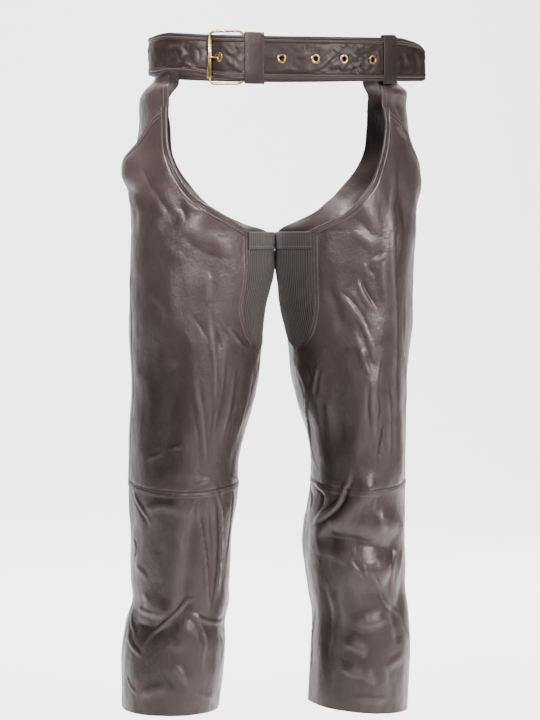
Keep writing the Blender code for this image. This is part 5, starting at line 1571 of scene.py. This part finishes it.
def tube(name, path, radii, sides, stands_for, closed=False):
    """A brass rod along a path of points."""
    path = np.asarray(path, float)
    count = len(path)
    radii = np.broadcast_to(radii, count)
    ahead = np.roll(path, -1, axis=0) - np.roll(path, 1, axis=0) if closed else np.gradient(path, axis=0)
    ahead = unit(ahead)
    side = unit(np.cross(ahead, np.append(waist_frame(BUCKLE_ALONG)[2], 0.0)))
    lift = np.cross(side, ahead)
    turns = np.radians(np.arange(sides) * 360 / sides)
    points = [path[k] + (side[k] * math.cos(t) + lift[k] * math.sin(t)) * radii[k]
              for k in range(count) for t in turns]
    faces = ring_quads(count, sides, closed)
    if not closed:
        faces += [tuple(range(sides)), tuple(reversed(range((count - 1) * sides, count * sides)))]
    new_piece(name, points, faces, BRASS, stands_for, sharp=BRASS_SHARP)


def build_buckle():
    """The wire frame, the roller on its far bar and the prong on its heel bar."""
    bar = buckle_point(-BUCKLE_HALF_LENGTH, ROLLER_LIFT)
    heel = buckle_point(BUCKLE_HALF_LENGTH, HEEL_LIFT)
    across = unit(heel - bar)
    half = np.linalg.norm(heel - bar) / 2
    path = []
    for sign_x, sign_z, first in ((1, 1, 0), (-1, 1, 90), (-1, -1, 180), (1, -1, 270)):
        corner = (bar + heel) / 2 + across * sign_x * (half - BUCKLE_CORNER)
        corner = corner + UP * sign_z * (BUCKLE_HALF_HEIGHT - BUCKLE_CORNER)
        for angle in np.radians(np.linspace(first, first + 90, CORNER_LINES)):
            path.append(corner + (across * math.cos(angle) + UP * math.sin(angle)) * BUCKLE_CORNER)
    tube("buckle_wire_frame", path, BUCKLE_WIRE, WIRE_SIDES, ["buckle_frame"], closed=True)
    half = BUCKLE_HALF_HEIGHT - BUCKLE_CORNER - ROLLER_END_GAP
    upper = [(ROLLER_INNER, half - 0.3), (ROLLER_INNER + 0.4, half), (ROLLER_OUTER - 0.5, half),
             (ROLLER_OUTER, half - 0.6)]
    profile = upper + [(radius, -lift) for radius, lift in reversed(upper)]
    turned("buckle_roller_tube", bar, np.array([1.0, 0, 0]), np.array([0, 1.0, 0]), UP, profile, ROLLER_SIDES,
           ["buckle_roller"])
    path = smooth_line([buckle_point(along, lift) for along, lift in PRONG_PATH], PRONG_LINES)
    radii = PRONG_RADIUS * np.interp(np.linspace(0, 1, PRONG_LINES), *PRONG_TAPER)
    tube("buckle_prong_rod", path, radii, PRONG_SIDES, ["buckle_prong"])
    _, ahead, out = (np.append(v, 0.0) for v in waist_frame(BUCKLE_ALONG + BUCKLE_HALF_LENGTH))
    ring = [(BUCKLE_WIRE + wide, lift) for wide, lift in PRONG_EYE]
    eye = turned("buckle_prong_eye", heel, ahead, out, UP, ring, EYE_SIDES)


def build_keeper(name, start, end, half_height, back_lift):
    """A leather loop round the belt's layers, bowed a little, with pressed edge lines."""
    along = start + (end - start) * KEEPER_LINES
    stands = [strap_stand(a) for a in along]
    front = np.array([centre + out * (BELT_WALL / 2 + KEEPER_FRONT_GAP) for centre, _, out in stands])
    back = belt_path(along, np.full(len(along), back_lift + KEEPER_WALL))
    gap = np.linalg.norm(front[:, :2] - back, axis=1)
    toward = np.append((front[:, :2] - back) / gap[:, None], np.zeros((len(gap), 1)), axis=1)
    middle = front - toward * gap[:, None] / 2
    soft = np.minimum(1, np.minimum(KEEPER_LINES, 1 - KEEPER_LINES) / 0.04)
    thick = KEEPER_WALL * (0.55 + 0.45 * soft) - 0.3 * (bell(KEEPER_LINES - 0.12, 0.02)
                                                        + bell(KEEPER_LINES - 0.88, 0.02))
    angle = 2 * math.pi * np.arange(KEEPER_SIDES) / KEEPER_SIDES
    span, half = gap[:, None] / 2, half_height - KEEPER_WALL
    scale = 1 / np.maximum(np.abs(np.cos(angle)) / span, np.abs(np.sin(angle)) / half)
    x, z = np.cos(angle) * scale, np.sin(angle) * scale
    over_x, over_z = np.abs(x) - (span - KEEPER_CORNER), np.abs(z) - (half - KEEPER_CORNER)
    at_corner = (over_x > 0) & (over_z > 0)
    shrink = np.maximum(np.hypot(over_x, over_z) / KEEPER_CORNER, 1)
    x = np.where(at_corner, np.copysign(span - KEEPER_CORNER + over_x / shrink, x), x)
    z = np.where(at_corner, np.copysign(half - KEEPER_CORNER + over_z / shrink, z), z)
    on_face = np.abs(x) / span > np.abs(z) / half
    out_x, out_z = np.where(on_face, np.sign(x), 0), np.where(on_face, 0, np.sign(z))
    wall = thick[:, None] + 0.5 * np.cos(z / half * math.pi / 2) * (x > 0)
    inner = middle[:, None] + toward[:, None] * x[..., None] + UP * z[..., None]
    outer = inner + (toward[:, None] * out_x[..., None] + UP * out_z[..., None]) * wall[..., None]
    shift = len(along) * KEEPER_SIDES
    faces = ring_quads(len(along), KEEPER_SIDES, closed=False)
    faces += [tuple(v + shift for v in reversed(face)) for face in faces]
    for k in range(KEEPER_SIDES):
        m = (k + 1) % KEEPER_SIDES
        faces.append((k, k + shift, m + shift, m))
        k, m = k + shift - KEEPER_SIDES, m + shift - KEEPER_SIDES
        faces.append((m, m + shift, k + shift, k))
    points = np.concatenate([inner.reshape(-1, 3), outer.reshape(-1, 3)])
    piece = new_piece(f"keeper_{name}_leather", points, faces, BELT_HIDE, [f"belt_keeper_{name}"])


# ---- Stage ----


def build_stage():
    """A floor that curves up into the backdrop behind the part."""
    turns = np.linspace(0.1, math.pi / 2, 12)
    bend = BACKDROP_BEND
    profile = [(FLOOR_FRONT, FLOOR_LEVEL), (BACKDROP - bend, FLOOR_LEVEL)]
    profile += [(BACKDROP - bend + bend * math.sin(a), FLOOR_LEVEL + bend - bend * math.cos(a))
                for a in turns]
    profile.append((BACKDROP, BACKDROP_TOP))
    points = [(x, y, z) for y, z in profile for x in (-FLOOR_HALF, FLOOR_HALF)]
    faces = [(2 * k, 2 * k + 1, 2 * k + 3, 2 * k + 2) for k in range(len(profile) - 1)]
    mesh = bpy.data.meshes.new("studio_floor")
    mesh.from_pydata(points, [], faces)
    mesh.shade_smooth()
    made, tree, shader, _ = new_material("studio_paper")
    set_inputs(tree, shader, Base_Color=PAPER_COLOUR, Roughness=0.9)
    mesh.materials.append(made)
    floor = bpy.data.objects.new("studio_floor", mesh)
    bpy.context.scene.collection.objects.link(floor)


def add_aimed(name, data, place, aim):
    """Puts a lamp or the camera in its place, turned toward what it aims at."""
    holder = bpy.data.objects.new(name, data)
    holder.location = place
    holder.rotation_mode = "QUATERNION"
    holder.rotation_quaternion = (Vector(aim) - Vector(place)).to_track_quat("-Z", "Y")
    bpy.context.scene.collection.objects.link(holder)
    return holder


def build_lights():
    world = bpy.data.worlds.new("studio")
    bpy.context.scene.world = world
    world.use_nodes = True
    sky = world.node_tree.nodes["Background"]
    set_inputs(world.node_tree, sky, Color=(1, 1, 1, 1), Strength=WORLD_STRENGTH)
    for name, (place, aim, size, power) in SOFT_LIGHTS.items():
        light = bpy.data.lights.new(name, "AREA")
        light.shape = "ELLIPSE"
        light.size, light.size_y = size
        light.energy = power
        add_aimed(name, light, place, aim)
    for name, (place, aim, degrees, power) in SPOT_LIGHTS.items():
        light = bpy.data.lights.new(name, "SPOT")
        light.spot_size = math.radians(degrees)
        light.spot_blend = 1.0
        light.shadow_soft_size = SPOT_RADIUS
        light.energy = power
        add_aimed(name, light, place, aim)


def build_camera():
    camera = bpy.data.cameras.new("camera")
    camera.lens = LENS
    camera.sensor_fit = "VERTICAL"
    camera.sensor_height = SENSOR_HEIGHT
    camera.clip_start = 0.05
    bpy.context.scene.camera = add_aimed("camera", camera, EYE * MM, AIM * MM)


def main():
    build_camera()
    for side in SIDES:
        build_leg(side)
    build_strap()
    build_belt_back()
    build_buckle_half()
    build_buckle()
    for name, sizes in KEEPERS.items():
        build_keeper(name, *sizes)
    make_stitches("right")
    make_stitches("left")
    make_stitches("belt")
    build_stage()
    build_lights()
    bpy.context.view_layer.update()


main()
